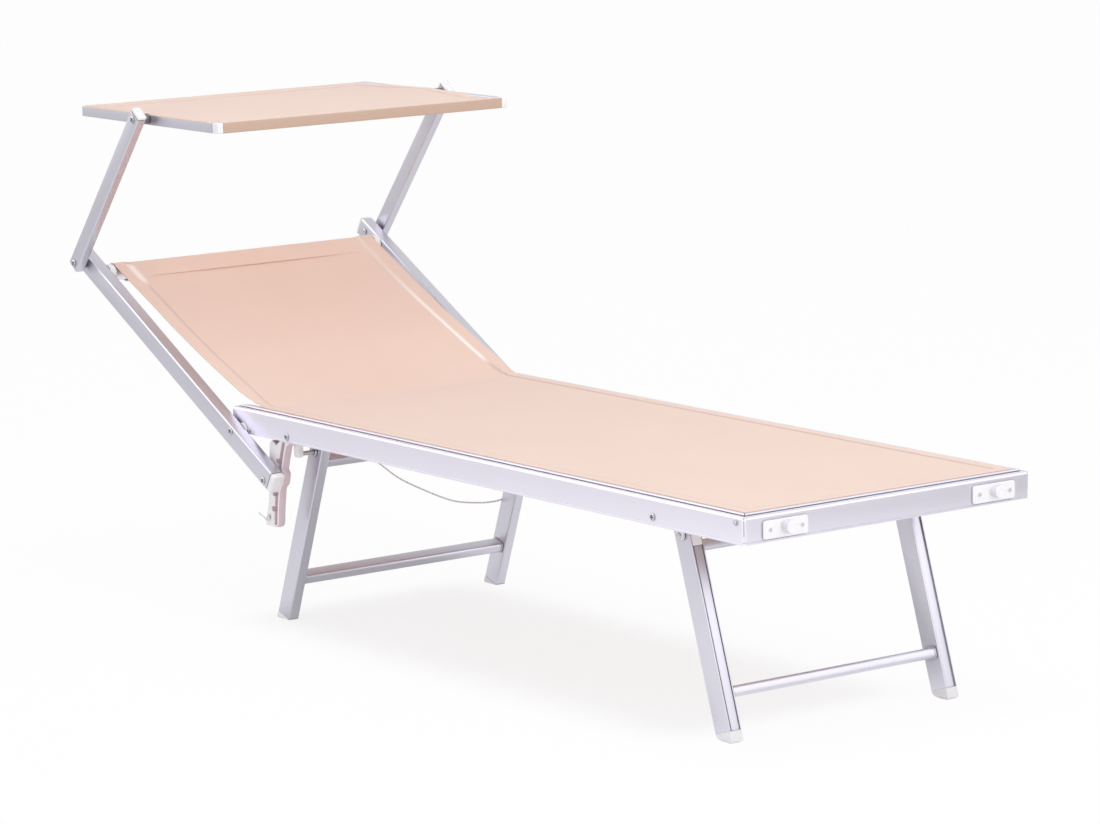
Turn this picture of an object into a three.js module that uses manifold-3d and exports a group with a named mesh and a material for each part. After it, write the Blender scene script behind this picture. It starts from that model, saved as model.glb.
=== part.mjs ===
// Sun lounger with a canopy: a bed frame of aluminium channel, a fabric sling, folding legs,
// a backrest held by two slotted hangers, and a canopy that swings and tilts on two arms.
// Millimetres and degrees. +X points to the foot end, +Y to the left of the person lying on it,
// +Z up. Until the last lines the floor is Z = 0 and the foot rail's outer face is X = 0.
import * as THREE from 'three';
import { mergeVertices } from 'three/addons/utils/BufferGeometryUtils.js';
import Module from 'manifold-3d';

const wasm = await Module();
wasm.setup();

// Clearances and facets
const fit = 0.3; // gap between pieces that touch
const overrun = 5; // how far a cutting tool reaches past what it cuts
const roundSteps = 16; // facets of a tube, pin or bore
const smallSteps = 10; // facets of a screw head
const cornerSteps = 1; // pairs of facets in a rounded corner

// Bed frame, one channel section on three sides
const bedWidth = 600;
const bedLength = 1425;
const railBottom = 343; // rails' lower edges above the floor
const railWidth = 32;
const railWall = 2.5;
const shoulderHeight = 44;
const shoulderRadius = 8;
const shoulderLand = 1; // flat strip between the rounded shoulder and the groove
const grooveWidth = 3;
const grooveDepth = 3;
const beadWidth = 7;
const beadHeight = 49; // bead's top above the rail's lower edge
const beadRadius = 2;
const channelTop = 38.5; // underside of the outer part of the rail's top
const shelfWeb = 2.7; // thickness of the shelf under the sling's edge
const headBarInset = 25; // head bar's axis from the rails' head ends
const headBarHeight = 23; // head bar's axis above the rails' lower edges
const headBarRadius = 12.5;
const tubeWall = 1.6;

// Sling
const slingThickness = 2;
const slingHeadGap = 40; // bare rail between the seat sling and the rails' head ends

// Screws and rivets
const railScrewRadius = 3.5;
const railScrewHeadRadius = 5.2;
const screwHeadHeight = 2;
const rearScrewHeight = 10; // above the rail's lower edge
const frontScrewHeight = 14;
const cornerRivetInset = 18; // from the foot rail's outer face
const cornerRivetHeight = 34.5;
const cornerRivetRadius = 3.2;
const cornerRivetHeadRadius = 4;
const cornerBracketLength = 44;
const cornerBracketFoot = 14; // bracket's underside above the rail's lower edge

// Plates with pegs on the foot rail
const plateLength = 90;
const plateHeight = 29;
const plateThickness = 4;
const plateRadius = 4;
const plateInset = 82; // peg's axis from the side rails' outer faces
const plateRise = 20; // plate's centre above the rail's lower edge
const pegRadius = 12.6;
const pegLength = 15.7;
const plateScrewReach = 32.5; // from the peg's axis
const plateScrewRadius = 2;
const plateScrewHeadRadius = 3.4;
const plateScrewHeadHeight = 1;
const plateScrewDepth = 8;

// Legs
const rearAxleInset = 169.5; // from the rails' head ends
const frontAxle = 224.8; // from the foot rail's outer face
const axleDrop = 23.5; // below the rails' lower edges
const rearLean = 20; // turn about +Y, which takes the feet toward the head end
const frontLean = -17.5; // the other way, with the feet toward the foot end
const legWidth = 38;
const legThickness = 20;
const legRadius = 3;
const legGap = 27.3; // between the rails' inner faces and the legs
const legTop = 14; // leg's upper end above its axle
const footLength = 12; // foot cap on the leg's centre line
const plugLength = 14;
const upperBarDrop = 20; // below the axle along the leg
const stretcherDrop = 257.5;
const crossBarWidth = 28;
const crossBarHeight = 18;
const crossBarRadius = 6;
const legPinRadius = 4;
const legPinHeadRadius = 6;
const legPinHeadHeight = 2.7;
const bracketThickness = 9.7;
const bracketWidth = 28;
const bracketFoot = 4; // block's underside above the rail's lower edge
const tabWidth = 17;
const tabBelowAxle = 6;
const tabRadius = 4;

// Backrest
const backAngle = 29; // above the rails, as it stands
const hingeInset = 33.3; // hinge axis from the rails' head ends
const hingeHeight = 6.6; // above the rails' lower edges
const hingeOffset = 9.6; // hinge axis above the arm's centre line, square to the arm
const armWidth = 24.4;
const armHeight = 35;
const armRadius = 4;
const armGap = 3.7; // between rail and arm
const armAbove = 561.7; // arm's upper end from the hinge
const armBelow = 137.8; // arm's lower end from the hinge
const lowerCapLength = 13;
const upperCapLength = 5;
const capPlug = 7;
const boltRadius = 4;
const boltHeadRadius = 5.6;
const washerRadius = 12;
const nutRadius = 6.5;
const nutHeight = 4;
const latchBelow = 124.4; // latch pin from the hinge along the arm
const latchOffset = -17.7; // latch pin from the hinge square to the arm
const latchLugRadius = 12.5;
const topBarAbove = 499.7; // from the hinge along the arm
const topBarOffset = -7.5; // from the hinge square to the arm
const topBarRadius = 14;
const sleeveThickness = 2.4; // fabric round the top bar
const backSlingInset = 15; // backrest sling's edges inside the rails' outer faces
const backSlingStart = 60; // sling's lower edge from the hinge along the arm
const backSlingRise = 47.6; // sling's face over the hinge, square to the arm

// Hangers that hold the backrest
const rackGap = 1; // between the hanger and the rail's outer wall
const rackThickness = 15;
const rackEyeRadius = 10;
const rackTurn = 0.6; // hanger's turn for one degree of the backrest
const rackClearance = 0.6; // slot round the latch pin
const rackFrontWall = 4.4;
const rackTopBackAcross = 59.5; // corners of the hanger, toward the head end from its eye
const rackTopBackDown = 3;
const rackMiddleBackAcross = 67.5;
const rackMiddleBackDown = 123;
const rackFootBackAcross = 80.5;
const rackFootFrontAcross = 43.2;
const rackFootDown = 169;
const rackNeckFrontAcross = 3; // toward the foot end
const rackNeckFrontDown = 15;
const rackNotchDepth = 9;
const rackNotchStops = [15, 29, 43, 57]; // backrest angles that have a notch
const backLowest = 0;
const backHighest = 70;
const slotSteps = 7;
const cordHoleRadius = 2.5;
const cordHoleAcross = 67;
const cordHoleDown = 152;

// Release cord
const cordRadius = 1.5;
const cordSides = 8;
const cordStep = 4; // radii between two rings of the tube
const cordSteps = 60;

// Canopy arms
const canopyPivotAbove = 542.3; // on the back arm, from the hinge along the arm
const canopyPivotOffset = -8.2; // from the hinge square to the arm
const canopyArmAngle = 52; // above the horizontal, leaning to the foot end
const canopyArmReach = 356.7; // between its two pivots
const canopyArmWidth = 29.2;
const canopyArmThickness = 17.6;
const canopyArmRadius = 3;
const canopyArmGap = 4.6; // between back arm and canopy arm
const canopyArmBelow = 9; // arm's lower end past its pivot
const canopyArmAbove = 10; // arm's upper end past its pivot
const canopyCapLength = 7;
const canopySpacerRadius = 9;

// Canopy
const canopyGap = 14.9; // between the canopy and its arms
const canopyFront = 230.2; // from the tilt pivot to the front edge
const canopyBack = 225.8;
const canopyBarWidth = 20;
const canopyBarHeight = 19;
const canopyBarRadius = 2.5;
const canopyBarDrop = 2.1; // bars' centre line below the tilt pivot
const cornerAlong = 20; // corner fitting's length on the side bar
const cornerAcross = 12.3; // corner fitting's width on the front face
const canopyFabricDrop = 3; // fabric below the top of the bars
const canopyWrap = 1.5; // fabric round the front and back bars
const canopyNutHeight = 3;
const canopyNutRadius = 5.2;

// Materials
const aluminium = { color: 0xc9c8d2, roughness: 0.35, metalness: 0.85 };
const whitePlastic = { color: 0xf2f1f4, roughness: 0.5, metalness: 0 };
const fabric = { color: 0xecd2c2, roughness: 0.9, metalness: 0 };
const steel = { color: 0xb4b4ba, roughness: 0.3, metalness: 1 };
const cordFinish = { color: 0xf1f1f1, roughness: 0.6, metalness: 0 };

// Sizes that follow from the ones above
const halfBed = bedWidth / 2;
const innerWall = halfBed - railWidth; // rails' inner faces from the middle
const beadStart = shoulderRadius + shoulderLand + grooveWidth;
const beadEnd = beadStart + beadWidth;
const shelfHeight = beadHeight - slingThickness - fit;
const shelfUnderside = shelfHeight - shelfWeb;
const shelfStart = beadStart + railWall;
const plateCentre = halfBed - plateInset;
const axleHeight = railBottom - axleDrop;
const rearAxle = bedLength - rearAxleInset;
const legOuter = innerWall - legGap;
const legInner = legOuter - legThickness;
const barHalf = legInner - fit;
const bracketInner = innerWall + railWall + fit;
const bracketOuter = bracketInner + bracketThickness;
const armInner = halfBed + armGap;
const armOuter = armInner + armWidth;
const armCentre = armInner + armWidth / 2;
const hingeX = hingeInset - bedLength;
const hingeZ = railBottom + hingeHeight;
const backSlingHalf = halfBed - backSlingInset;
const rackPivot = { x: -rearAxle, z: railBottom + rearScrewHeight };
const rackOuter = halfBed - railWall - rackGap;
const rackInner = rackOuter - rackThickness;
const canopyArmInner = armOuter + canopyArmGap;
const canopyArmOuter = canopyArmInner + canopyArmThickness;
const canopyArmCentre = canopyArmInner + canopyArmThickness / 2;
const canopyHalf = canopyArmInner - canopyGap;
const sideBarInner = canopyHalf - canopyBarWidth;
const sideBarCentre = canopyHalf - canopyBarWidth / 2;

const radians = THREE.MathUtils.degToRad;

// Leaves only positions, with shared vertices merged
function weld(geometry) {
  geometry.deleteAttribute('normal');
  geometry.deleteAttribute('uv');
  return mergeVertices(geometry);
}

function toSolid(geometry) {
  const welded = weld(geometry.clone());
  return new wasm.Manifold(new wasm.Mesh({
    numProp: 3,
    vertProperties: new Float32Array(welded.attributes.position.array),
    triVerts: new Uint32Array(welded.index.array),
  }));
}

function toGeometry(solid) {
  const mesh = solid.getMesh();
  const geometry = new THREE.BufferGeometry();
  geometry.setAttribute('position', new THREE.BufferAttribute(mesh.vertProperties, 3));
  geometry.setIndex(new THREE.BufferAttribute(mesh.triVerts, 1));
  return geometry;
}

function join(...geometries) {
  const solids = geometries.map(toSolid);
  return toGeometry(solids.slice(1).reduce((whole, next) => whole.add(next), solids[0]));
}

function cut(geometry, ...tools) {
  const solids = tools.map(toSolid);
  return toGeometry(solids.reduce((rest, tool) => rest.subtract(tool), toSolid(geometry)));
}

// The same piece on the other side of the lounger
function mirror(geometry) {
  const other = weld(geometry.clone());
  other.scale(1, -1, 1);
  const index = other.index.array;
  for (let i = 0; i < index.length; i += 3) {
    [index[i], index[i + 1]] = [index[i + 1], index[i]];
  }
  return other;
}

// An outline in X and Z, drawn out along Y
function extrudeY(shape, from, to) {
  const options = { depth: to - from, bevelEnabled: false, curveSegments: cornerSteps };
  const geometry = new THREE.ExtrudeGeometry(shape, options);
  geometry.rotateX(Math.PI / 2);
  geometry.translate(0, to, 0);
  return geometry;
}

// An outline in Y and Z, drawn out along X
function extrudeX(shape, from, to) {
  const options = { depth: to - from, bevelEnabled: false, curveSegments: cornerSteps };
  const geometry = new THREE.ExtrudeGeometry(shape, options);
  geometry.rotateX(Math.PI / 2);
  geometry.rotateZ(Math.PI / 2);
  geometry.translate(from, 0, 0);
  return geometry;
}

// An outline in X and Y, drawn out along Z
function extrudeZ(shape, from, to) {
  const options = { depth: to - from, bevelEnabled: false, curveSegments: cornerSteps };
  const geometry = new THREE.ExtrudeGeometry(shape, options);
  geometry.translate(0, 0, from);
  return geometry;
}

function box(x0, x1, y0, y1, z0, z1) {
  const geometry = new THREE.BoxGeometry(x1 - x0, y1 - y0, z1 - z0);
  geometry.translate((x0 + x1) / 2, (y0 + y1) / 2, (z0 + z1) / 2);
  return geometry;
}

function pinY(x, z, radius, from, to, steps = roundSteps) {
  const geometry = new THREE.CylinderGeometry(radius, radius, to - from, steps);
  geometry.translate(x, (from + to) / 2, z);
  return geometry;
}

function pinX(y, z, radius, from, to, steps = roundSteps) {
  const geometry = new THREE.CylinderGeometry(radius, radius, to - from, steps);
  geometry.rotateZ(Math.PI / 2);
  geometry.translate((from + to) / 2, y, z);
  return geometry;
}

// Adds a rounded rectangle about a centre to a shape or a hole
function roundedRectangle(path, u, v, width, height, radius) {
  const left = u - width / 2;
  const right = u + width / 2;
  const low = v - height / 2;
  const high = v + height / 2;
  const quarter = Math.PI / 2;
  path.moveTo(left + radius, low);
  path.lineTo(right - radius, low);
  path.absarc(right - radius, low + radius, radius, -quarter, 0);
  path.lineTo(right, high - radius);
  path.absarc(right - radius, high - radius, radius, 0, quarter);
  path.lineTo(left + radius, high);
  path.absarc(left + radius, high - radius, radius, quarter, 2 * quarter);
  path.lineTo(left, low + radius);
  path.absarc(left + radius, low + radius, radius, 2 * quarter, 3 * quarter);
  return path;
}

// The section of a rectangular tube
function tubeSection(u, v, width, height, radius, wall) {
  const shape = roundedRectangle(new THREE.Shape(), u, v, width, height, radius);
  const bore = { width: width - 2 * wall, height: height - 2 * wall };
  const boreRadius = Math.max(radius - wall, fit);
  shape.holes.push(roundedRectangle(new THREE.Path(), u, v, bore.width, bore.height, boreRadius));
  return shape;
}

function ringSection(u, v, outer, inner) {
  const shape = new THREE.Shape().absarc(u, v, outer, 0, 2 * Math.PI);
  shape.holes.push(new THREE.Path().absarc(u, v, inner, 0, 2 * Math.PI));
  return shape;
}

// A round tube along Y
function tubeY(x, z, outer, inner, from, to) {
  const options = { depth: to - from, bevelEnabled: false, curveSegments: roundSteps / 2 };
  const geometry = new THREE.ExtrudeGeometry(ringSection(x, z, outer, inner), options);
  geometry.rotateX(Math.PI / 2);
  geometry.translate(0, to, 0);
  return geometry;
}

// Takes an outline's points in order
function polygon(points) {
  return new THREE.Shape(points.map(([u, v]) => new THREE.Vector2(u, v)));
}

// Moves the vertices on a rail's end so that two rails meet at 45 degrees
function mitre(geometry, axis, end, place) {
  const position = geometry.attributes.position;
  for (let i = 0; i < position.count; i += 1) {
    const point = new THREE.Vector3().fromBufferAttribute(position, i);
    if (Math.abs(point[axis] - end) < fit) {
      point[axis] = place(point);
      position.setXYZ(i, point.x, point.y, point.z);
    }
  }
  return geometry;
}

const scene = new THREE.Group();

function add(parent, name, geometry, finish) {
  geometry.computeVertexNormals();
  const material = new THREE.MeshStandardMaterial({ ...finish, flatShading: true });
  const mesh = new THREE.Mesh(geometry, material);
  mesh.name = name;
  parent.add(mesh);
  return mesh;
}

// A piece and its mirror image, from the geometry of the left one
function addPair(parent, name, geometry, finish) {
  add(parent, `${name}_left`, geometry, finish);
  add(parent, `${name}_right`, mirror(geometry), finish);
}

// Half section of a rail: u runs inward from the outer face, v up from the lower edge
function railOutline() {
  const outline = new THREE.Path();
  const side = shoulderHeight - shoulderRadius;
  outline.moveTo(0, 0);
  outline.lineTo(0, side);
  outline.absarc(shoulderRadius, side, shoulderRadius, Math.PI, Math.PI / 2, true);
  outline.lineTo(shoulderRadius + shoulderLand, shoulderHeight);
  outline.lineTo(shoulderRadius + shoulderLand, shoulderHeight - grooveDepth);
  outline.lineTo(beadStart, shoulderHeight - grooveDepth);
  outline.lineTo(beadStart, beadHeight - beadRadius);
  const beadSide = beadHeight - beadRadius;
  outline.absarc(beadStart + beadRadius, beadSide, beadRadius, Math.PI, Math.PI / 2, true);
  outline.lineTo(beadEnd - beadRadius, beadHeight);
  outline.absarc(beadEnd - beadRadius, beadSide, beadRadius, Math.PI / 2, 0, true);
  outline.lineTo(beadEnd, shelfHeight);
  outline.lineTo(railWidth, shelfHeight);
  outline.lineTo(railWidth, 0);
  outline.lineTo(railWidth - railWall, 0);
  outline.lineTo(railWidth - railWall, shelfUnderside);
  outline.lineTo(shelfStart, shelfUnderside);
  outline.lineTo(shelfStart, channelTop);
  outline.lineTo(railWall, channelTop);
  outline.lineTo(railWall, 0);
  return outline.getPoints(cornerSteps);
}

function sideRail() {
  const shape = polygon(railOutline().map(({ x: u, y: v }) => [halfBed - u, railBottom + v]));
  const rail = mitre(extrudeX(shape, -bedLength, 0), 'x', 0, ({ y }) => y - halfBed - fit);
  const wallOut = halfBed + overrun;
  const wallIn = halfBed - railWall - overrun;
  const screwBore = railScrewRadius + fit;
  const rivetBore = cornerRivetRadius + fit;
  return cut(
    rail,
    pinY(-rearAxle, railBottom + rearScrewHeight, screwBore, wallIn, wallOut),
    pinY(-frontAxle, railBottom + frontScrewHeight, screwBore, wallIn, wallOut),
    pinY(hingeX, hingeZ, boltRadius + fit, wallIn, wallOut),
    pinY(-cornerRivetInset, railBottom + cornerRivetHeight, rivetBore, wallIn, wallOut),
  );
}

function footRail() {
  const shape = polygon(railOutline().map(({ x: u, y: v }) => [-u, railBottom + v]));
  const rail = extrudeY(shape, -halfBed, halfBed);
  mitre(rail, 'y', halfBed, ({ x }) => halfBed + x - fit);
  mitre(rail, 'y', -halfBed, ({ x }) => -halfBed - x + fit);
  const height = railBottom + plateRise;
  const bore = plateScrewRadius + fit;
  const bores = [];
  for (const plate of [-plateCentre, plateCentre]) {
    for (const reach of [-plateScrewReach, plateScrewReach]) {
      bores.push(pinX(plate + reach, height, bore, -railWall - overrun, overrun, smallSteps));
    }
  }
  return cut(rail, ...bores);
}

// An angle inside the mitred corner, with the rivet that holds it
function cornerBracket() {
  const near = railWall + fit;
  const far = railWidth - railWall - fit;
  const angle = polygon([
    [-near, halfBed - near],
    [-cornerBracketLength, halfBed - near],
    [-cornerBracketLength, halfBed - far],
    [-far, halfBed - far],
    [-far, halfBed - cornerBracketLength],
    [-near, halfBed - cornerBracketLength],
  ]);
  const height = railBottom + cornerRivetHeight;
  const headFrom = halfBed + fit;
  const headTo = halfBed + screwHeadHeight;
  const shankTo = headFrom + screwHeadHeight / 2;
  return join(
    extrudeZ(angle, railBottom + cornerBracketFoot, railBottom + channelTop - fit),
    pinY(-cornerRivetInset, height, cornerRivetRadius, halfBed - near - overrun, shankTo),
    pinY(-cornerRivetInset, height, cornerRivetHeadRadius, headFrom, headTo, smallSteps),
  );
}

// A plate on the foot rail with its peg and the two screws that hold it
function pegPlate() {
  const height = railBottom + plateRise;
  const outline = roundedRectangle(
    new THREE.Shape(), plateCentre, height, plateLength, plateHeight, plateRadius,
  );
  const face = fit + plateThickness;
  const peg = pinX(plateCentre, height, pegRadius, fit, face + pegLength);
  const pieces = [extrudeX(outline, fit, face), peg];
  for (const reach of [-plateScrewReach, plateScrewReach]) {
    const across = plateCentre + reach;
    pieces.push(pinX(across, height, plateScrewRadius, -plateScrewDepth, face, smallSteps));
    pieces.push(pinX(across, height, plateScrewHeadRadius, fit, face + plateScrewHeadHeight, smallSteps));
  }
  return join(...pieces);
}

function railScrew(x, z) {
  const headFrom = halfBed + fit;
  return join(
    pinY(x, z, railScrewRadius, bracketInner + railWall, headFrom + screwHeadHeight / 2),
    pinY(x, z, railScrewHeadRadius, headFrom, headFrom + screwHeadHeight, smallSteps),
  );
}

// A bracket in the rail's channel: its tab hangs below and carries the pin that the leg turns on
function legBracket(axle, screwHeight, blockOuter) {
  const x = -axle;
  const blockFoot = railBottom + bracketFoot;
  const blockTop = railBottom + channelTop - fit;
  const reach = bracketWidth / 2;
  const block = box(x - reach, x + reach, bracketInner, blockOuter, blockFoot, blockTop);
  const tabFoot = axleHeight - tabBelowAxle;
  const tabMiddle = (tabFoot + blockTop) / 2;
  const tab = roundedRectangle(new THREE.Shape(), x, tabMiddle, tabWidth, blockTop - tabFoot, tabRadius);
  const headFrom = legInner - fit - legPinHeadHeight;
  const bracket = join(
    block,
    extrudeY(tab, bracketInner, bracketOuter),
    pinY(x, axleHeight, legPinRadius, headFrom, bracketOuter - fit),
    pinY(x, axleHeight, legPinHeadRadius, headFrom, legInner - fit, smallSteps),
  );
  const screw = pinY(x, railBottom + screwHeight, railScrewRadius + fit, innerWall, halfBed);
  return cut(bracket, screw);
}

function seatSling() {
  const half = halfBed - beadEnd - fit;
  const top = railBottom + beadHeight;
  return box(slingHeadGap - bedLength, -beadEnd - fit, -half, half, top - slingThickness, top);
}

function buildMainFrame(parent) {
  addPair(parent, 'side_rail', sideRail(), aluminium);
  add(parent, 'foot_rail', footRail(), aluminium);
  const headBarX = headBarInset - bedLength;
  const headBarZ = railBottom + headBarHeight;
  const headBarInner = headBarRadius - tubeWall;
  const headBarEnd = innerWall - fit;
  const headBar = tubeY(headBarX, headBarZ, headBarRadius, headBarInner, -headBarEnd, headBarEnd);
  add(parent, 'head_bar', headBar, aluminium);
  addPair(parent, 'corner_bracket', cornerBracket(), aluminium);
  addPair(parent, 'peg_plate', pegPlate(), whitePlastic);
  addPair(parent, 'rear_rail_screw', railScrew(-rearAxle, railBottom + rearScrewHeight), steel);
  addPair(parent, 'front_rail_screw', railScrew(-frontAxle, railBottom + frontScrewHeight), steel);
  addPair(parent, 'rear_leg_bracket', legBracket(rearAxle, rearScrewHeight, bracketOuter), whitePlastic);
  const channelOuter = halfBed - railWall - fit;
  addPair(parent, 'front_leg_bracket', legBracket(frontAxle, frontScrewHeight, channelOuter), whitePlastic);
  add(parent, 'seat_sling', seatSling(), fabric);
}

// A leg hangs straight down from its axle at the origin; its group leans it
function legTube(length) {
  const middle = (legOuter + legInner) / 2;
  const section = tubeSection(0, middle, legWidth, legThickness, legRadius, tubeWall);
  const tube = extrudeZ(section, footLength - length, legTop);
  return cut(tube, pinY(0, 0, legPinRadius + fit, legInner - overrun, legOuter + overrun));
}

// A cap on the leg's lower end, cut level with the floor, with a plug inside the leg
function footCap(length, lean) {
  const middle = (legOuter + legInner) / 2;
  const section = roundedRectangle(new THREE.Shape(), 0, middle, legWidth, legThickness, legRadius);
  const plugWidth = legWidth - 2 * (tubeWall + fit);
  const plugThickness = legThickness - 2 * (tubeWall + fit);
  const plug = roundedRectangle(
    new THREE.Shape(), 0, middle, plugWidth, plugThickness, legRadius - tubeWall,
  );
  const capTop = footLength - length - fit;
  const blank = join(
    extrudeZ(section, -length - legWidth, capTop),
    extrudeZ(plug, capTop - fit, capTop + plugLength),
  );
  const ground = box(-length, length, 0, bedWidth, -axleHeight - length, -axleHeight);
  ground.rotateY(-radians(lean));
  return cut(blank, ground);
}

function crossBar(drop) {
  const section = tubeSection(0, -drop, crossBarWidth, crossBarHeight, crossBarRadius, tubeWall);
  return extrudeY(section, -barHalf, barHalf);
}

function buildLegs(parent, name, axle, lean) {
  const group = new THREE.Group();
  group.position.set(-axle, 0, axleHeight);
  group.rotation.y = radians(lean);
  parent.add(group);
  const length = axleHeight / Math.cos(radians(lean));
  addPair(group, `${name}_leg`, legTube(length), aluminium);
  addPair(group, `${name}_foot_cap`, footCap(length, lean), whitePlastic);
  add(group, `${name}_upper_bar`, crossBar(upperBarDrop), aluminium);
  add(group, `${name}_stretcher`, crossBar(stretcherDrop), aluminium);
}

// Turns a point about the origin as a turn about +Y does, in degrees
function turned({ x, z }, degrees) {
  const angle = radians(degrees);
  return { x: x * Math.cos(angle) + z * Math.sin(angle), z: z * Math.cos(angle) - x * Math.sin(angle) };
}

// The latch pin's centre in the hanger's own frame, for a backrest angle
function latchInRack(angle) {
  const pin = turned({ x: latchBelow, z: latchOffset }, angle);
  const fromPivot = { x: hingeX + pin.x - rackPivot.x, z: hingeZ + pin.z - rackPivot.z };
  return turned(fromPivot, -rackTurn * (angle - backAngle));
}

// The slot's centre line and the direction toward the head side at each of its points
function slotPath() {
  const path = [];
  for (let step = 0; step <= slotSteps; step += 1) {
    const angle = backLowest + (backHighest - backLowest) * step / slotSteps;
    const here = latchInRack(angle);
    const ahead = latchInRack(angle + 1);
    const length = Math.hypot(ahead.x - here.x, ahead.z - here.z);
    const across = { x: (ahead.z - here.z) / length, z: (here.x - ahead.x) / length };
    path.push({ ...here, across });
  }
  return path;
}

function rackPlate(path) {
  const wall = boltRadius + rackClearance + rackFrontWall;
  const front = path.map(({ x, z, across }) => [x - across.x * wall, z - across.z * wall]).reverse();
  return polygon([
    [-rackTopBackAcross, -rackTopBackDown],
    [-rackMiddleBackAcross, -rackMiddleBackDown],
    [-rackFootBackAcross, -rackFootDown],
    [-rackFootFrontAcross, -rackFootDown],
    ...front,
    [rackNeckFrontAcross, -rackNeckFrontDown],
    [0, rackEyeRadius],
  ]);
}

function rackTools(path) {
  const half = boltRadius + rackClearance;
  const from = rackInner - overrun;
  const to = rackOuter + overrun;
  const outer = path.map(({ x, z, across }) => [x + across.x * half, z + across.z * half]);
  const inner = path.map(({ x, z, across }) => [x - across.x * half, z - across.z * half]).reverse();
  const first = path[0];
  const last = path[path.length - 1];
  const tools = [
    extrudeY(polygon([...outer, ...inner]), from, to),
    pinY(first.x, first.z, half, from, to),
    pinY(last.x, last.z, half, from, to),
    pinY(0, 0, railScrewRadius + fit, from, to),
    pinY(-cordHoleAcross, -cordHoleDown, cordHoleRadius, from, to, smallSteps),
  ];
  for (const stop of rackNotchStops) {
    const { x, z } = latchInRack(stop);
    tools.push(box(x - rackNotchDepth, x, from, to, z - half, z + half));
    tools.push(pinY(x - rackNotchDepth, z, half, from, to));
  }
  return tools;
}

// A hanger: an eye on the rail screw, and a plate with the slot that follows the latch pin
function rack() {
  const path = slotPath();
  const body = join(
    extrudeY(rackPlate(path), rackInner, rackOuter),
    pinY(0, 0, rackEyeRadius, rackInner, rackOuter),
  );
  return cut(body, ...rackTools(path));
}

function buildRacks(parent) {
  const group = new THREE.Group();
  group.position.set(rackPivot.x, 0, rackPivot.z);
  parent.add(group);
  addPair(group, 'rack', rack(), whitePlastic);
}

// The release cord between the hangers' lower ends, sagging behind the rear legs
function releaseCord() {
  const end = rackInner - fit;
  const points = [
    [-1322, -end, 201],
    [-1322, -277, 201],
    [-1323.5, -271, 212],
    [-1326, -268, 240],
    [-1330, -263, 286],
    [-1334, -246, 321],
    [-1337, -215, 336],
    [-1337, -170, 331],
    [-1337, -122, 308],
    [-1337, -83, 286],
    [-1337, -50.5, 266.4],
    [-1337, -5, 232.3],
    [-1337, 56.5, 200.1],
    [-1337, 100.5, 180.3],
    [-1337, 125.5, 171.9],
    [-1337, 162.5, 165.2],
    [-1337, 192.5, 162],
    [-1337, 219.5, 162.6],
    [-1336, 250, 171],
    [-1331, 269, 186],
    [-1328, 277, 192],
    [-1328, end, 192],
  ];
  const places = points.map((point) => new THREE.Vector3(...point));
  const route = new THREE.CatmullRomCurve3(places, false, 'centripetal');
  const section = new THREE.Shape();
  for (let side = 0; side < cordSides; side += 1) {
    const angle = 2 * Math.PI * side / cordSides;
    const u = cordRadius * Math.cos(angle);
    const v = cordRadius * Math.sin(angle);
    if (side === 0) section.moveTo(u, v);
    else section.lineTo(u, v);
  }
  const steps = Math.min(cordSteps, Math.round(route.getLength() / (cordStep * cordRadius)));
  return new THREE.ExtrudeGeometry(section, { steps, bevelEnabled: false, extrudePath: route });
}

// The backrest lies along -X from its hinge at the origin; its group raises it
function backArm() {
  const section = tubeSection(armCentre, -hingeOffset, armWidth, armHeight, armRadius, tubeWall);
  const tube = extrudeX(section, -armAbove, armBelow);
  const from = armInner - overrun;
  const to = armOuter + overrun;
  return cut(
    tube,
    pinY(0, 0, boltRadius + fit, from, to),
    pinY(latchBelow, latchOffset, boltRadius + fit, from, to),
    pinY(-canopyPivotAbove, canopyPivotOffset, boltRadius + fit, from, to),
  );
}

// An end cap and the plug that holds it in the tube's end
function tubeEndCap(section, plug, end, direction, length, plugReach) {
  const face = end + direction * fit;
  const tip = face + direction * length;
  const root = end - direction * plugReach;
  const seat = face + direction * fit;
  return join(
    extrudeX(section, Math.min(face, tip), Math.max(face, tip)),
    extrudeX(plug, Math.min(root, seat), Math.max(root, seat)),
  );
}

function backArmCap(end, direction, length) {
  const clearance = 2 * (tubeWall + fit);
  const plugWidth = armWidth - clearance;
  const plugHeight = armHeight - clearance;
  const section = roundedRectangle(
    new THREE.Shape(), armCentre, -hingeOffset, armWidth, armHeight, armRadius,
  );
  const plug = roundedRectangle(
    new THREE.Shape(), armCentre, -hingeOffset, plugWidth, plugHeight, armRadius - tubeWall,
  );
  return tubeEndCap(section, plug, end, direction, length, capPlug);
}

// The hinge bolt: head, shank, the washer between arm and rail, and the nut in the channel
function hingeBolt() {
  const headFrom = armOuter + fit;
  const nutOuter = halfBed - railWall - fit;
  return join(
    pinY(0, 0, boltHeadRadius, headFrom, headFrom + screwHeadHeight, smallSteps),
    pinY(0, 0, boltRadius, nutOuter - nutHeight, headFrom + screwHeadHeight / 2),
    pinY(0, 0, washerRadius, halfBed + fit, armInner - fit),
    pinY(0, 0, nutRadius, nutOuter - nutHeight, nutOuter, smallSteps),
  );
}

// The latch pin: head, lug against the arm's inner face, and the pin through the hanger
function latchPin() {
  const headFrom = armOuter + fit;
  return join(
    pinY(latchBelow, latchOffset, boltHeadRadius, headFrom, headFrom + screwHeadHeight, smallSteps),
    pinY(latchBelow, latchOffset, boltRadius, rackInner - fit, headFrom + screwHeadHeight / 2),
    pinY(latchBelow, latchOffset, latchLugRadius, halfBed + 2 * fit, armInner - fit),
  );
}

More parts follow.
